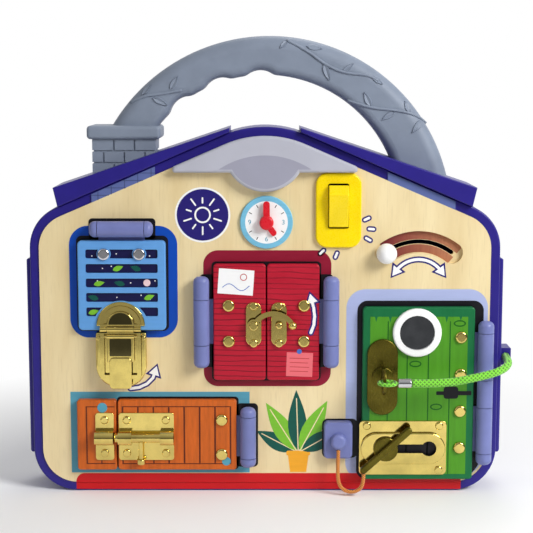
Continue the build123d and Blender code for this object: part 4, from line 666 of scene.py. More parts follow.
KEY_CORD_D, KEY_CORD_CUT = 5.4, 0.55
CHAIN_CORD_D, CHAIN_CORD_CUT = 2.6, 0.74
KEY_CORD_ROUTE = [
    (167.25, -4.3, 92.4),
    (167.25, -18.0, 92.4),
    (166.05, -33.2, 91.0),
    (157.73, -45.2, 88.5),
    (139.24, -49.7, 85.0),
    (118.26, -50.7, 81.5),
    (98.25, -51.2, 82.0),
]
CHAIN_CORD_ROUTE = [
    (50.3, -35.0, 31.7),
    (49.8, -35.8, 19.36),
    (50.3, -36.2, 7.86),
    (55.26, -37.0, 2.9),
    (62.44, -37.8, 2.9),
    (67.4, -38.8, 7.86),
    (67.4, -39.0, 16.12),
]


def spline_points(name, route):
    """Points of the smooth line that has the route as its control points, in metres."""
    curve = bpy.data.curves.new(name, "CURVE")
    curve.dimensions = "3D"
    spline = curve.splines.new("NURBS")
    spline.points.add(len(route) - 1)
    for point, place in zip(spline.points, route):
        point.co = (*(Vector(place) * MM), 1.0)
    spline.order_u = 3
    spline.use_endpoint_u = True
    spline.resolution_u = 16
    holder = bpy.data.objects.new(name, curve)
    mesh = bpy.data.meshes.new_from_object(holder)
    points = [v.co.copy() for v in mesh.vertices]
    bpy.data.objects.remove(holder)
    bpy.data.meshes.remove(mesh)
    bpy.data.curves.remove(curve)
    return points


def two_stretch_cord(name, route, share, diameter, material, node):
    """A cord that crosses two joints, made as two tubes cut at a share of the points along its route.

    A second stretch that is too short to be a cord of its own counts as a piece on the first.
    """
    points = spline_points(name, route)
    cut = int(len(points) * share)
    halves = (points[:cut + 1], points[cut:])
    for number, half in enumerate(halves):
        piece = tube(f"{name}_{number + 1}", half, diameter / 2 * MM, material)
        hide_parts(node)
        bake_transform(piece)


def cords():
    two_stretch_cord("key_cord_braid", KEY_CORD_ROUTE, KEY_CORD_CUT, KEY_CORD_D, green_braid,
                     "key_cord")
    two_stretch_cord("chain_cord_braid", CHAIN_CORD_ROUTE, CHAIN_CORD_CUT, CHAIN_CORD_D, orange_braid,
                     "chain_cord")


def twisting_loop():
    """A copy of the key's cord loop, which takes the loop's place."""
    piece = put("key_loop_braid", nodes["key_loop"].data.copy())
    piece.matrix_world = nodes["key_loop"].matrix_world
    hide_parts("key_loop")
    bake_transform(piece)


# Prints on the front board

board_print = printer(board_y, "case")


def surrounds():
    """Coloured frames on the board, and dark prints of painted shade in the openings and hinge gaps that the doors
    cover.
    """
    window = rounded(left=-133, right=-59.5, low=108.2, high=185.1, radius=13)
    window_hole_shade = rounded(left=-128.2, right=-65.6, low=112.8, high=178.4, radius=4)
    window_hinge_gap_shade = rounded(left=-119.5, right=-74.2, low=176, high=190.2, radius=2.5)
    board_print("window_surround", [window], blue_print)
    board_print("window_shadow", [window_hole_shade, window_hinge_gap_shade], dark_ink_and_shade_print, layer=2)

    red = rounded(left=-42, right=45.1, low=74.2, high=168.4, radius=10)
    red_hole_shade = rounded(left=-36.4, right=38.2, low=78.2, high=160.8, radius=3)
    red_hinge_gaps_shade = rounded(left=-44, right=46, low=87.6, high=152, radius=2)
    board_print("red_surround", [red], crimson_print)
    board_print("red_shadow", [red_hole_shade, red_hinge_gaps_shade], dark_ink_and_shade_print, layer=2)

    orange = rectangle(left=-134, right=-10.6, low=13.1, high=70.3)
    orange_hole_shade = rounded(left=-102, right=-18.2, low=15.4, high=66.9, radius=2.5)
    orange_hinge_gap_shade = rounded(left=-20, right=-4.8, low=17.2, high=62.2, radius=3)
    board_print("orange_surround", [orange], teal_print)
    board_print("orange_shadow", [orange_hole_shade, orange_hinge_gap_shade], dark_ink_and_shade_print, layer=2)

    green = rounded(left=55.6, right=152.2, low=7.6, high=141.7, radius=13, low_right=23.0)
    green_hole_shade = rounded(left=63.1, right=149.4, low=8.4, high=133.8, radius=7, low_right=18.0)
    chain_gap_shade = rounded(left=39.4, right=64, low=23.6, high=51.3, radius=4)
    board_print("green_surround", [green], lavender_print)
    # The dark recess behind the green door is painted shade.
    board_print("green_recess", [green_hole_shade], dark_ink_and_shade_print, layer=2)
    board_print("chain_shadow", [chain_gap_shade], dark_ink_and_shade_print, layer=2.5)


BADGE_X, BADGE_Z, BADGE_R = -42.2, 192.5, 18.8
BADGE_RIM = 1.3
RAY_COUNT, RAY_START, RAY_SHORT, RAY_LONG, RAY_W = 10, 8.2, 11.4, 13.2, 1.1
SUN_OUT, SUN_IN = 5.6, 4.4


def badge():
    """Round sign with a plain sun."""
    board_print("badge_ring", [disc(BADGE_X, BADGE_Z, BADGE_R)], white_print)
    board_print("badge_field", [disc(BADGE_X, BADGE_Z, BADGE_R - BADGE_RIM)], ink_print, layer=2)
    rays = []
    for ray in range(RAY_COUNT):
        angle = 360 / RAY_COUNT * (ray + 0.5)
        reach = RAY_LONG if ray % 2 else RAY_SHORT
        rays.append(stroke([polar(BADGE_X, BADGE_Z, RAY_START, angle), polar(BADGE_X, BADGE_Z, reach, angle)],
                           RAY_W))
    board_print("badge_rays", rays, white_print, layer=3)
    ring_print("badge_sun", disc(BADGE_X, BADGE_Z, SUN_OUT), disc(BADGE_X, BADGE_Z, SUN_IN), board_y,
               white_print, "case", layer=3)


LIFT_ROUTE = ((-92.5, 72.6), (-86.5, 73.4), (-81, 76), (-77, 80), (-75.4, 85))


def board_arrows():
    slide_route = arc(x=104.4, z=143.4, radius=18.75, start=147, end=33, steps=14)
    arrow_print("slide_arrow", slide_route, 2, board_y, "case")
    arrow_print("lift_arrow", LIFT_ROUTE, 1, board_y, "case", layer=2)


FLASH_X, FLASH_Z = 56.0, 184.0
FLASH_L, FLASH_EDGE_W, FLASH_CORE_W = 3.2, 3.8, 1.7
FLASHES = ((24, 12.5), (-4, 14.5), (-30, 14.5), (-112, 18.8), (-136, 22.5))


def flash_marks():
    """Short strokes round the switch, each at an angle and a distance from the middle."""
    for number, (angle, near) in enumerate(FLASHES):
        start = polar(FLASH_X, FLASH_Z, near, angle)
        mark = [start, polar(*start, FLASH_L, angle)]
        board_print(f"flash_edge_{number}", [stroke(mark, FLASH_EDGE_W)], ink_print)
        board_print(f"flash_core_{number}", [stroke(mark, FLASH_CORE_W)], white_print, layer=2)


POT_X, POT_LOW, POT_HIGH = 23.0, 13.4, 27.6
POT_FOOT_HALF, POT_MOUTH_HALF, POT_RIM_HALF = 5.6, 7.4, 8.2
POT_RIM_LOW, SOIL_Z = 25.2, 28.6
ROOT_STEP, RIB_SHARE, RIB_W, RIB_LAYER = 1.2, 0.86, 0.7, 1.2


def pot_plant():
    """Plain pot with five leaves, each given by its angle, length and width."""
    pot = [(POT_X - POT_FOOT_HALF, POT_LOW), (POT_X + POT_FOOT_HALF, POT_LOW),
           (POT_X + POT_MOUTH_HALF, POT_HIGH), (POT_X - POT_MOUTH_HALF, POT_HIGH)]
    rim = rounded(POT_X - POT_RIM_HALF, POT_X + POT_RIM_HALF, POT_RIM_LOW, SOIL_Z, radius=1.2)
    board_print("pot", [pot], pot_print)
    board_print("pot_rim", [rim], pot_print, layer=2)
    plant = ((152, 30, 12, leaf_dark_print), (122, 40, 13, leaf_light_print), (92, 43, 13, leaf_dark_print),
             (62, 40, 13, leaf_light_print), (30, 31, 12, leaf_dark_print))
    middle = len(plant) // 2
    for number, (angle, length, width, material) in enumerate(plant):
        root = (POT_X + (number - middle) * ROOT_STEP, SOIL_Z)
        lift = LAYER_STEP * number
        board_print(f"plant_leaf_{number}", [leaf(*root, angle, length, width)], material, 1 + lift)
        rib = [root, polar(*root, length * RIB_SHARE, angle)]
        board_print(f"plant_rib_{number}", [stroke(rib, RIB_W)], birch, RIB_LAYER + lift)


ARC_X, ARC_Z, ARC_HALF, ARC_MORE = 104.5, 136.5, 36.5, 5.0
CHANNEL_DEPTH, FADE_LEFT, FADE_RIGHT = 3.0, 22, 24
CHANNEL_BANDS = (("inner", 30.3, 35.8), ("outer", 39.2, 44.7))


def slide_channel():
    """Fading print on the floor of the arc slide's channel, on both sides of the slot."""
    fade = fading("channel_fade", CHANNEL_DARK, CHANNEL_LIGHT, ARC_X - FADE_LEFT, ARC_X + FADE_RIGHT)
    left, right = 90 + ARC_HALF, 90 - ARC_HALF - ARC_MORE
    for part, near, far in CHANNEL_BANDS:
        band = arc(ARC_X, ARC_Z, far, left, right, steps=24)
        band += arc(ARC_X, ARC_Z, near, right, left, steps=24)
        flat_print(f"channel_floor_{part}", [band], board_y + CHANNEL_DEPTH, fade, "case")


# Card strip along the lower front edge, bent over the step from the board to the rim

STRIP_LEFT, STRIP_RIGHT = -131.0, 136.0
STRIP_LOW, STRIP_STEP, STRIP_HIGH = 1.0, 6.2, 12.6
STRIP_CORNER, STRIP_T, STRIP_BEND, STRIP_LEAST = 6.0, 0.1, 0.6, 0.4
STRIP_COLUMNS = 90


def strip_top(x):
    """Height of the strip's upper edge, with rounded corners."""
    from_end = min(x - STRIP_LEFT, STRIP_RIGHT - x)
    if from_end >= STRIP_CORNER:
        return STRIP_HIGH
    drop = sqrt(max(0.0, STRIP_CORNER ** 2 - (STRIP_CORNER - from_end) ** 2))
    return STRIP_HIGH - STRIP_CORNER + drop


def lower_strip():
    mesh_data = bmesh.new()
    columns = []
    for n in range(STRIP_COLUMNS + 1):
        share = 0.5 - 0.5 * cos(pi * n / STRIP_COLUMNS)
        x = STRIP_LEFT + (STRIP_RIGHT - STRIP_LEFT) * share
        top = max(strip_top(x), STRIP_STEP + STRIP_LEAST)
        bend = STRIP_STEP - STRIP_BEND
        front = [(rim_y - STRIP_T, STRIP_LOW), (rim_y - STRIP_T, bend), (board_y - STRIP_T, STRIP_STEP),
                 (board_y - STRIP_T, top)]
        back = [(board_y, top), (board_y, STRIP_STEP + STRIP_T), (rim_y, bend + STRIP_T), (rim_y, STRIP_LOW)]
        columns.append([mesh_data.verts.new((x * MM, y * MM, z * MM)) for y, z in front + back])
    for a, b in zip(columns, columns[1:]):
        bridge(mesh_data, a, b)
    mesh_data.faces.new(columns[0])
    mesh_data.faces.new(columns[-1][::-1])
    return finish_piece("lower_strip", mesh_data, band_print, "case")


# Clock face

CLOCK_X, CLOCK_Z, FACE_R = 1.0, 187.6, 14.4
TICK_IN, TICK_OUT, TICK_W = 11.6, 13.4, 0.5
NUMERAL_R, NUMERAL_SIZE, NUMERAL_T = 11.4, 4.6, 0.04


def numeral(text, x, z):
    """A figure on the clock face, made into a thin mesh."""
    curve = bpy.data.curves.new(f"numeral_{text}", "FONT")
    curve.body = text
    curve.size = NUMERAL_SIZE * MM
    curve.align_x = "CENTER"
    curve.align_y = "CENTER"
    curve.extrude = NUMERAL_T * MM
    holder = bpy.data.objects.new("numeral_holder", curve)
    mesh = bpy.data.meshes.new_from_object(holder)
    bpy.data.objects.remove(holder)
    bpy.data.curves.remove(curve)
    place = Matrix.Translation(Vector((x, dial_y - 2 * PRINT_T, z)) * MM)
    mesh.transform(place @ Matrix.Rotation(radians(90), 4, "X"))
    coated(f"numeral_{text}", mesh, teal_print, "case")


def clock_face():
    flat_print("clock_face", [disc(CLOCK_X, CLOCK_Z, FACE_R)], dial_y, white_print, "case")
    ticks = []
    for angle in range(0, 360, 30):
        if angle % 90:
            ticks.append(stroke([polar(CLOCK_X, CLOCK_Z, TICK_IN, angle), polar(CLOCK_X, CLOCK_Z, TICK_OUT, angle)],
                                TICK_W))
    flat_print("clock_ticks", ticks, dial_y, dark_ink_and_shade_print, "case", layer=2)
    for text, right, up in (("12", 0, 1), ("3", 1, 0), ("6", 0, -1), ("9", -1, 0)):
        numeral(text, CLOCK_X + right * NUMERAL_R, CLOCK_Z + up * NUMERAL_R)


# Lamp cover: the round lens seen through its front, cut off level by a seam

SEAM_Z, SEAM_GAP = 221.4, 2.2
LENS_R, LENS_TOP = 56.0, 233.0
DISC_R, DISC_LOW = 27.5, 208.5


def lamp_lens():
    level = SEAM_Z + SEAM_GAP
    lens_z = LENS_TOP - LENS_R
    lens_angle = cut_angle(LENS_R, level - lens_z)
    upper = arc(0, lens_z, LENS_R, lens_angle, 180 - lens_angle, steps=40)
    flat_print("lamp_lens_upper", [upper], lamp_y, lens_tone, "case")
    disc_z, disc_r = DISC_LOW + DISC_R, DISC_R - SEAM_GAP
    disc_angle = cut_angle(disc_r, disc_z - level)
    lower = arc(0, disc_z, disc_r, 180 + disc_angle, 360 - disc_angle, steps=32)
    flat_print("lamp_lens_lower", [lower], lamp_y, lens_tone, "case", layer=2)


def cut_angle(radius, height):
    """Angle at which a circle is cut by a level line that far from its middle."""
    return degrees_of((0, 0), (sqrt(radius ** 2 - height ** 2), height))


# Window shutter prints

WINDOW_X = -97.0
SLAT_TOP, SLAT_PITCH, SLAT_H, SLAT_W, SLAT_COUNT = 169.6, 9.9, 6.2, 49.0, 5
SLAT_DEPTH, SLAT_SIDE_GAP, SLAT_END_GAP, SLAT_CORNER = 1.2, 0.1, 0.2, 1.2
STAR_R, STAR_FIRST, STAR_STEP, STAR_SHIFT, STAR_RISE = 0.45, -20, 13, 3.5, 1.4
SPRIG_L, SPRIG_W, SPRIG_DROP = 7.5, 3.6, 1.2
SPRIGS = ((1, -103, 20), (1, -84, 160), (2, -116, 12), (2, -95, 168), (3, -82, 20), (3, -113, 165), (4, -120, 15))
MOON_SHIFT, MOON_DISC_R, MOON_ROW = 17, 2.4, 2
slat_print = printer(door_y + SLAT_DEPTH, "window")


def slat_prints():
    """Night sky behind the slats with stars, a moon and sprigs; a sprig has a row, an x and an angle."""
    rows = [SLAT_TOP - SLAT_H / 2 - n * SLAT_PITCH for n in range(SLAT_COUNT)]
    half_w, half_h = SLAT_W / 2, SLAT_H / 2
    night = [rounded(WINDOW_X - half_w + SLAT_END_GAP, WINDOW_X + half_w - SLAT_END_GAP, z - half_h + SLAT_SIDE_GAP,
                     z + half_h - SLAT_SIDE_GAP, SLAT_CORNER) for z in rows]
    slat_print("slat_night", night, navy_print)
    stars = []
    for row, z in enumerate(rows):
        for dot in range(4):
            x = WINDOW_X + STAR_FIRST + STAR_STEP * dot + STAR_SHIFT * ((row * 2 + dot) % 3)
            stars.append(disc(x, z + STAR_RISE * ((row + dot) % 3 - 1), STAR_R, 12))
    slat_print("slat_stars", stars, white_print, layer=2)
    sprigs = [leaf(x, rows[row] - SPRIG_DROP, angle, SPRIG_L, SPRIG_W) for row, x, angle in SPRIGS]
    slat_print("slat_sprigs", sprigs[::2], leaf_light_print, layer=3)
    slat_print("slat_sprigs_dark", sprigs[1::2], leaf_dark_print, layer=3)
    moon = oval(WINDOW_X + MOON_SHIFT, rows[MOON_ROW], MOON_DISC_R, MOON_DISC_R)
    slat_print("slat_moon", [moon], pale_print, layer=3)


# Polished faces of the latch in brass painted dark as a painted reflection of a dim room: the lever and the half
# moon on the round plate

LATCH_X = WINDOW_X - 1.0
LEVER_FACE_Y, LEVER_HALF = -35.2, 7.4
MOON_Z, MOON_R, MOON_RISE = 118.8, 8.0, 3.4


def latch_faces():
    lever = rounded(LATCH_X - LEVER_HALF, LATCH_X + LEVER_HALF, low=97.2, high=109.2, radius=0.8)
    flat_print("latch_lever_face", [lever], LEVER_FACE_Y, brass_painted_dark_reflection, "latch_lever")
    moon = arc(LATCH_X, MOON_Z, MOON_R, start=0, end=180, steps=32)
    flat_print("latch_moon_face", [moon], door_y - MOON_RISE, brass_painted_dark_reflection, "window")


# Prints on the red doors

CARD_X, CARD_Z, CARD_HALF_W, CARD_HALF_H, CARD_TURN = -19.7, 147.5, 12, 8.6, -4
SUN_X, SUN_Z, CARD_SUN_OUT, CARD_SUN_IN = CARD_X + 5.2, CARD_Z + 3.2, 2.4, 1.9
HILL_LEFT, HILL_STEP, HILL_POINTS = CARD_X - 9, 1.5, 13
HILL_Z, HILL_SWELL, HILL_RATE, HILL_W = CARD_Z - 3.6, 2.4, 0.55, 0.5
NOTE_X, NOTE_Z, NOTE_TURN = 23.5, 90.5, -2
LINE_LEFT, LINE_RIGHT, LINE_SHORTER = 17, 30, 0.8
LINE_TOP, LINE_END_TOP, LINE_STEP, LINE_COUNT, LINE_W = 95, 94.6, 3, 4, 0.45
HOOK_ARROW_ROUTE = ((31.2, 112.6), (33.2, 118), (33.7, 124), (33, 130), (31.4, 136))


def red_door_prints():
    """A card with a hill and a sun, and a pinned note with lines in place of words."""
    left_print, right_print = printer(door_y, "red_left"), printer(door_y, "red_right")
    card = rectangle(CARD_X - CARD_HALF_W, CARD_X + CARD_HALF_W, CARD_Z - CARD_HALF_H, CARD_Z + CARD_HALF_H)
    left_print("card", [turned(card, CARD_X, CARD_Z, CARD_TURN)], white_print)
    hill = [(HILL_LEFT + n * HILL_STEP, HILL_Z + HILL_SWELL * sin(n * HILL_RATE)) for n in range(HILL_POINTS)]
    left_print("card_hill", [stroke(hill, HILL_W)], line_blue_print, layer=2)
    ring_print("card_sun", disc(SUN_X, SUN_Z, CARD_SUN_OUT, 24), disc(SUN_X, SUN_Z, CARD_SUN_IN, 24), door_y,
               line_red_print, "red_left", layer=2)
    note = rectangle(left=14.6, right=32.5, low=82.2, high=98.8)
    right_print("note", [turned(note, NOTE_X, NOTE_Z, NOTE_TURN)], pink_print)
    lines = []
    for n in range(LINE_COUNT):
        end = (LINE_RIGHT - LINE_SHORTER * (n % 2), LINE_END_TOP - LINE_STEP * n)
        lines.append(stroke([(LINE_LEFT, LINE_TOP - LINE_STEP * n), end], LINE_W))
    right_print("note_lines", lines, line_red_print, layer=2)
    right_print("note_pin", [disc(x=23.4, z=99.6, radius=1.7, steps=24)], line_blue_print, layer=3)
    arrow_print("hook_arrow", HOOK_ARROW_ROUTE, 1, door_y, "red_right")


# Prints on the orange door and its panel

GROOVE_FIRST, GROOVE_STEP, GROOVE_COUNT = -97.7, 10.57, 8
GROOVE_HALF, GROOVE_LOW, GROOVE_HIGH = 0.55, 21.2, 60.8
FRAME_LEFT, FRAME_RIGHT, FRAME_LOW, FRAME_HIGH = -98, -23.4, 20.9, 61.1
PANEL_LEFT, PANEL_MIDDLE, PANEL_RIGHT, PANEL_LOW, PANEL_HIGH = -122.5, -112.4, -103.4, 21, 61
THIN_LINE, THICK_LINE = 0.6, 0.9


def orange_door_prints():
    door_print, panel_print = printer(door_y, "orange_door"), printer(door_y, "case")
    grooves = []
    for n in range(GROOVE_COUNT):
        x = GROOVE_FIRST + n * GROOVE_STEP
        grooves.append(rounded(x - GROOVE_HALF, x + GROOVE_HALF, GROOVE_LOW, GROOVE_HIGH, radius=0.4))
    door_print("door_grooves", grooves, groove_print)
    frame_lines = [stroke([(FRAME_LEFT, z), (FRAME_RIGHT, z)], THIN_LINE) for z in (FRAME_LOW, FRAME_HIGH)]
    door_print("door_frame_lines", frame_lines, groove_print, layer=1.5)
    door_print("door_knot", [disc(x=-26.6, z=22.6, radius=3.0, steps=24)], teal_print, layer=2)
    lines = (stroke([(PANEL_LEFT, PANEL_LOW), (PANEL_LEFT, PANEL_HIGH)], THICK_LINE),
             stroke([(PANEL_LEFT, PANEL_HIGH), (PANEL_RIGHT, PANEL_HIGH)], THIN_LINE),
             stroke([(PANEL_LEFT, PANEL_LOW), (PANEL_RIGHT, PANEL_LOW)], THIN_LINE),
             stroke([(PANEL_MIDDLE, PANEL_LOW), (PANEL_MIDDLE, PANEL_HIGH)], THICK_LINE))
    for n, line in enumerate(lines):
        panel_print(f"panel_line_{n}", [line], groove_print, layer=1 + LAYER_STEP * n)
    panel_print("panel_knot", [disc(x=-111.5, z=60.4, radius=3.4, steps=24)], teal_print, layer=3)


# Prints on the green door

PLANK_LEFT, PLANK_RIGHT, PLANK_LOW, PLANK_HIGH = 71.6, 138.0, 13.6, 123.6
PLANK_JOINTS, JOINT_HALF, JOINT_DROP = (83.8, 97.0, 111.5, 126.0), 0.4, 3
NICK_COUNT, NICK_FIRST, NICK_MARGIN, NICK_HALF = 7, 5, 9, 1.0
NICK_LEAST, NICK_MORE = 2.6, 1.6
KNOTS = ((132.4, 119.0), (102.6, 91.0), (117.2, 61.0))
CLASP_X, CLASP_Z, CLASP_LAYER = 129.6, 70.9, 2.5


def plank_outline():
    """The planks' edge, with nicks of changing depth along its top."""
    edge = [(PLANK_LEFT, PLANK_LOW), (PLANK_RIGHT, PLANK_LOW), (PLANK_RIGHT, PLANK_HIGH)]
    for n in range(NICK_COUNT):
        x = PLANK_RIGHT - NICK_FIRST - n * (PLANK_RIGHT - PLANK_LEFT - NICK_MARGIN) / (NICK_COUNT - 1)
        deep = NICK_LEAST + NICK_MORE * ((n * 3) % 4) / 3
        edge += [(x + NICK_HALF, PLANK_HIGH), (x, PLANK_HIGH - deep), (x - NICK_HALF, PLANK_HIGH)]
    return edge + [(PLANK_LEFT, PLANK_HIGH)]


def green_door_prints():
    door_print = printer(door_y, "green_door")
    door_print("planks", [plank_outline()], green_plank)
    joints = [rounded(x - JOINT_HALF, x + JOINT_HALF, PLANK_LOW, PLANK_HIGH - JOINT_DROP, radius=0.3)
              for x in PLANK_JOINTS]
    door_print("plank_lines", joints, plank_line_print, layer=2)
    for n, (x, z) in enumerate(KNOTS):
        ring_print(f"plank_knot_{n}", oval(x, z, half_w=4.2, half_h=2.3), oval(x, z, half_w=3.2, half_h=1.4), door_y,
                   plank_line_print, "green_door", layer=2.5)
    x, z = CLASP_X, CLASP_Z
    clasp = (rounded(left=x - 7.4, right=x + 2.6, low=z - 4.2, high=z + 4.2, radius=1.8),
             rounded(left=x - 12.4, right=x - 7.0, low=z - 1.6, high=z + 1.0, radius=0.6),
             rounded(left=x + 2.2, right=x + 11.6, low=z - 1.8, high=z + 1.2, radius=0.6))
    for n, shape in enumerate(clasp):
        door_print(f"clasp_{n}", [shape], dark_ink_and_shade_print, layer=CLASP_LAYER + LAYER_STEP * n)
    slot_shade = rounded(left=76, right=119, low=25.6, high=39.2, radius=5)
    door_print("chain_slot_shade", [slot_shade], dark_ink_and_shade_print, layer=2)


# Brick joints on the chimney's foot, which shows as a slanting band under the roof plate

BRICK_ROW, BRICK_W, JOINT_W = 5.0, 9.0, 0.5
CORNER_NEAR = 0.1


def foot_bricks():
    foot = nodes["roof_feet"]
    corners = [foot.matrix_world @ v.co / MM for v in foot.data.vertices]
    front = min(c.y for c in corners)
    face = [c for c in corners if c.x < 0 and c.y < front + CORNER_NEAR]
    left, right = min(c.x for c in face), max(c.x for c in face)
    low = min(c.z for c in face)
    rise = max(c.z for c in face if c.x < left + CORNER_NEAR) - low
    slope = (max(c.z for c in face) - rise - low) / (right - left)
    rows, ends = [], []
    z = low + BRICK_ROW
    while z < low + rise + slope * (right - left):
        start = max(left, left + (z - low - rise) / slope)
        end = min(right, left + (z - low) / slope)
        rows.append(stroke([(start, z), (end, z)], JOINT_W))
        z += BRICK_ROW
    x = left + BRICK_W / 2
    while x < right:
        ground = low + slope * (x - left)
        ends.append(stroke([(x, ground), (x, ground + rise)], JOINT_W))
        x += BRICK_W
    flat_print("foot_brick_rows", rows, front, foot_joint_print, "case")
    flat_print("foot_brick_ends", ends, front, foot_joint_print, "case", 1 + LAYER_STEP)


# Vine in relief on the handle

HANDLE_X, HANDLE_Z, HANDLE_R = 3.0, 186.8, 125.7
HOLE_X, HOLE_Z, HOLE_R = -0.2, 192.3, 94.0
OUT_EDGE, IN_EDGE = 9.0, 6.0
VINE_R, VINE_LIFT = 1.0, 0.1
LEAF_RINGS = ((1.0, -0.3), (0.74, 0.85), (0.0, 0.3))


def handle_surface(x, z):
    """Depth of the handle's front face, which is rounded towards both its edges."""
    over = hypot(x - HANDLE_X, z - HANDLE_Z) - (HANDLE_R - OUT_EDGE)
    if over > 0:
        return handle_y + OUT_EDGE - sqrt(max(0.0, OUT_EDGE ** 2 - over ** 2))
    under = HOLE_R + IN_EDGE - hypot(x - HOLE_X, z - HOLE_Z)
    if under > 0:
        return handle_y + IN_EDGE - sqrt(max(0.0, IN_EDGE ** 2 - under ** 2))
    return handle_y


def vine(name, places):
    """A creeper's stem in relief, through places given as (x, z)."""
    route = [(x, handle_surface(x, z), z) for x, z in places]
    points = spline_points(name, route)
    for point in points:
        point.y = (handle_surface(point.x / MM, point.z / MM) - VINE_LIFT) * MM
    piece = tube(name, points, VINE_R * MM, grey, sides=8)
    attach(piece, "case")


def relief_leaf(name, x, z, turn, length, width):
    """A leaf in low relief on the handle, with its edge sunk in and a crease along its middle.

    Its rings have a share of the leaf's width and a height over the handle's face.
    """
    outline = leaf(x, z, turn, length, width)
    way = polar(0, 0, 1, turn)
    mesh_data = bmesh.new()
    rings = []
    for share, lift in LEAF_RINGS:
        ring = []
        for px, pz in outline:
            along = (px - x) * way[0] + (pz - z) * way[1]
            mid_x, mid_z = x + way[0] * along, z + way[1] * along
            tx, tz = mid_x + (px - mid_x) * share, mid_z + (pz - mid_z) * share
            ring.append(mesh_data.verts.new((tx * MM, (handle_surface(tx, tz) - lift) * MM, tz * MM)))
        rings.append(ring)
    for near, far in zip(rings, rings[1:]):
        bridge(mesh_data, near, far)
    bmesh.ops.remove_doubles(mesh_data, verts=mesh_data.verts, dist=0.01 * MM)
    finish_piece(name, mesh_data, grey, "case")


VINES = (
    ("top", ((14.8, 309.2), (28.1, 303.0), (39.9, 293.5), (53.3, 287.4), (71.6, 286.4), (76.7, 281.8))),
    ("right", ((55.8, 269.3), (70.0, 264.2), (86.7, 262.9), (98.4, 260.8), (106.8, 256.7), (110.2, 253.4))),
    ("left", ((-91.5, 267.6), (-82.3, 272.4), (-70.5, 273.3), (-56.3, 276.0))),
)
VINE_LEAVES = (
    (-63.8, 276.8, 61, 9.6, 4.8), (-83.1, 273.1, 49, 8.9, 3.6), (-75.9, 271.0, -27, 11.2, 4.6),
    (14.8, 309.0, -134, 7.0, 3.6), (28.1, 305.6, -11, 10.7, 4.4), (39.9, 293.5, -72, 11.5, 5.2),
    (52.4, 288.2, 37, 9.5, 3.8), (72.5, 285.5, -38, 9.2, 4.0), (71.6, 265.1, 116, 10.6, 4.8),
    (98.4, 260.9, 114, 8.7, 4.2), (87.6, 261.4, -147, 10.0, 4.6), (106.8, 255.9, -128, 11.3, 5.0),
)


def handle_vine():
    """Stems through their places, and leaves with a root, an angle, a length and a width."""
    for part, places in VINES:
        vine(f"vine_{part}", places)
    for number, growth in enumerate(VINE_LEAVES):
        relief_leaf(f"vine_leaf_{number}", *growth)


# Stage, light and camera


def join_rays(tree, names):
    """One output that is 1 for any of the named kinds of ray."""
    path = tree.nodes.new("ShaderNodeLightPath")
    rays = path.outputs[names[0]]
    for name in names[1:]:
        rays = calc(tree, "MAXIMUM", rays, path.outputs[name])
    return rays


def whiten_far(graph):
    """Paper that looks plain white away from the object, and keeps the shadow near it."""
    far = graph.add("ShaderNodeVectorMath", operation="LENGTH")
    graph.join(graph.here(), far.inputs[0])
    share = graph.span(far.outputs["Value"], 0.0, 1.0, SHADOW_NEAR, SHADOW_FAR)
    seen = calc(graph.tree, "MULTIPLY", share, join_rays(graph.tree, SEEN_RAYS))
    white = graph.add("ShaderNodeEmission")
    mixed = graph.add("ShaderNodeMixShader")
    graph.join(seen, mixed.inputs["Fac"])
    graph.join(graph.shader.outputs["BSDF"], mixed.inputs[1])
    graph.join(white.outputs["Emission"], mixed.inputs[2])
    graph.join(mixed.outputs["Shader"], graph.tree.nodes["Material Output"].inputs["Surface"])


def stage_floor():
    """A round sheet of paper under the object."""
    mesh_data = bmesh.new()
    bmesh.ops.create_circle(mesh_data, cap_ends=True, segments=64, radius=FLOOR_R)
    bmesh.ops.translate(mesh_data, verts=mesh_data.verts, vec=(0.0, 0.0, FLOOR_Z))
    mesh = bpy.data.meshes.new("stage_floor")
    mesh_data.to_mesh(mesh)
    mesh_data.free()
    graph = Graph("stage_paper")
    grain = graph.span(graph.noise(3.0), 0.0, 1.0)
    graph.tint(grain, PAPER_DULL, PAPER)
    graph.set(Roughness=0.9)
    whiten_far(graph)
    mesh.materials.append(graph.material)
    floor = put("stage_floor", mesh)


def area_light(name, place, size, power):
    light = bpy.data.lights.new(name, "AREA")
    light.shape = "DISK"
    light.size = size
    light.energy = power
    lamp = put(name, light)
    lamp.location = place
    lamp.rotation_euler = (Vector(LIGHT_TARGET) - Vector(place)).to_track_quat("-Z", "Y").to_euler()


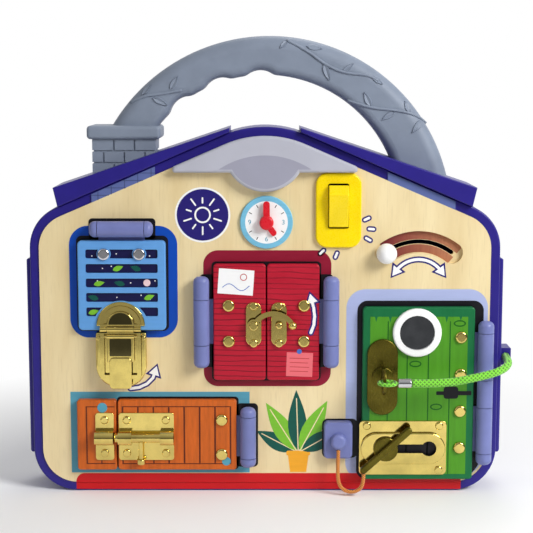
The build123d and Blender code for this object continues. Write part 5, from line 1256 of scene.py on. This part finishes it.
def studio():
    """A white background behind a room that is dim at eye level, with soft lights."""
    world = bpy.data.worlds.new("studio")
    world.use_nodes = True
    tree = world.node_tree
    coordinates = tree.nodes.new("ShaderNodeTexCoord")
    parts = tree.nodes.new("ShaderNodeSeparateXYZ")
    tree.links.new(coordinates.outputs["Generated"], parts.inputs["Vector"])
    room = tree.nodes.new("ShaderNodeBackground")
    above = ramp(tree, parts.outputs["Z"], ROOM_DIM, ROOM_TOP, start=0.0, end=0.9)
    below = ramp(tree, parts.outputs["Z"], ROOM_LOW, ROOM_DIM, start=-0.16, end=-0.06)
    tree.links.new(calc(tree, "MAXIMUM", above, below), room.inputs["Strength"])
    back = ramp(tree, parts.outputs["Y"], 0.0, 1.0, start=0.0, end=0.4)
    behind = calc(tree, "MULTIPLY", back, join_rays(tree, SEEN_RAYS[1:]))
    shown = calc(tree, "MAXIMUM", behind, join_rays(tree, SEEN_RAYS[:1]))
    white = tree.nodes["Background"]
    tune(white, Color=(1.0, 1.0, 1.0, 1.0), Strength=1.0)
    mixed = tree.nodes.new("ShaderNodeMixShader")
    tree.links.new(shown, mixed.inputs["Fac"])
    tree.links.new(room.outputs["Background"], mixed.inputs[1])
    tree.links.new(white.outputs["Background"], mixed.inputs[2])
    tree.links.new(mixed.outputs["Shader"], tree.nodes["World Output"].inputs["Surface"])
    bpy.context.scene.world = world
    area_light("key_light", place=(0.85, -0.75, 0.8), size=0.6, power=15.5)
    area_light("fill_light", place=(-1.2, -1.0, 0.7), size=0.9, power=1.8)
    area_light("rim_light", place=(0.2, 0.9, 1.5), size=0.8, power=5.5)


def photo_camera():
    lens = bpy.data.cameras.new("photo_camera")
    lens.sensor_fit = "HORIZONTAL"
    lens.lens = lens.sensor_width * FOCAL_PIXELS / IMAGE_SIZE
    half = IMAGE_SIZE / 2
    lens.shift_x = (half - PHOTO_CENTRE_X) / IMAGE_SIZE
    lens.shift_y = (PHOTO_TARGET_Y - half) / IMAGE_SIZE
    camera = put("photo_camera", lens)
    rise = radians(CAMERA_ELEVATION)
    camera.location = (0.0, -CAMERA_DISTANCE * cos(rise), CAMERA_TARGET_Z + CAMERA_DISTANCE * sin(rise))
    camera.rotation_euler = (radians(90) - rise, 0.0, 0.0)
    bpy.context.scene.camera = camera


cords()
twisting_loop()
surrounds()
badge()
board_arrows()
flash_marks()
pot_plant()
slide_channel()
lower_strip()
clock_face()
lamp_lens()
slat_prints()
latch_faces()
red_door_prints()
orange_door_prints()
green_door_prints()
foot_bricks()
handle_vine()
stage_floor()
studio()
photo_camera()
bpy.context.scene.view_settings.view_transform = "Standard"
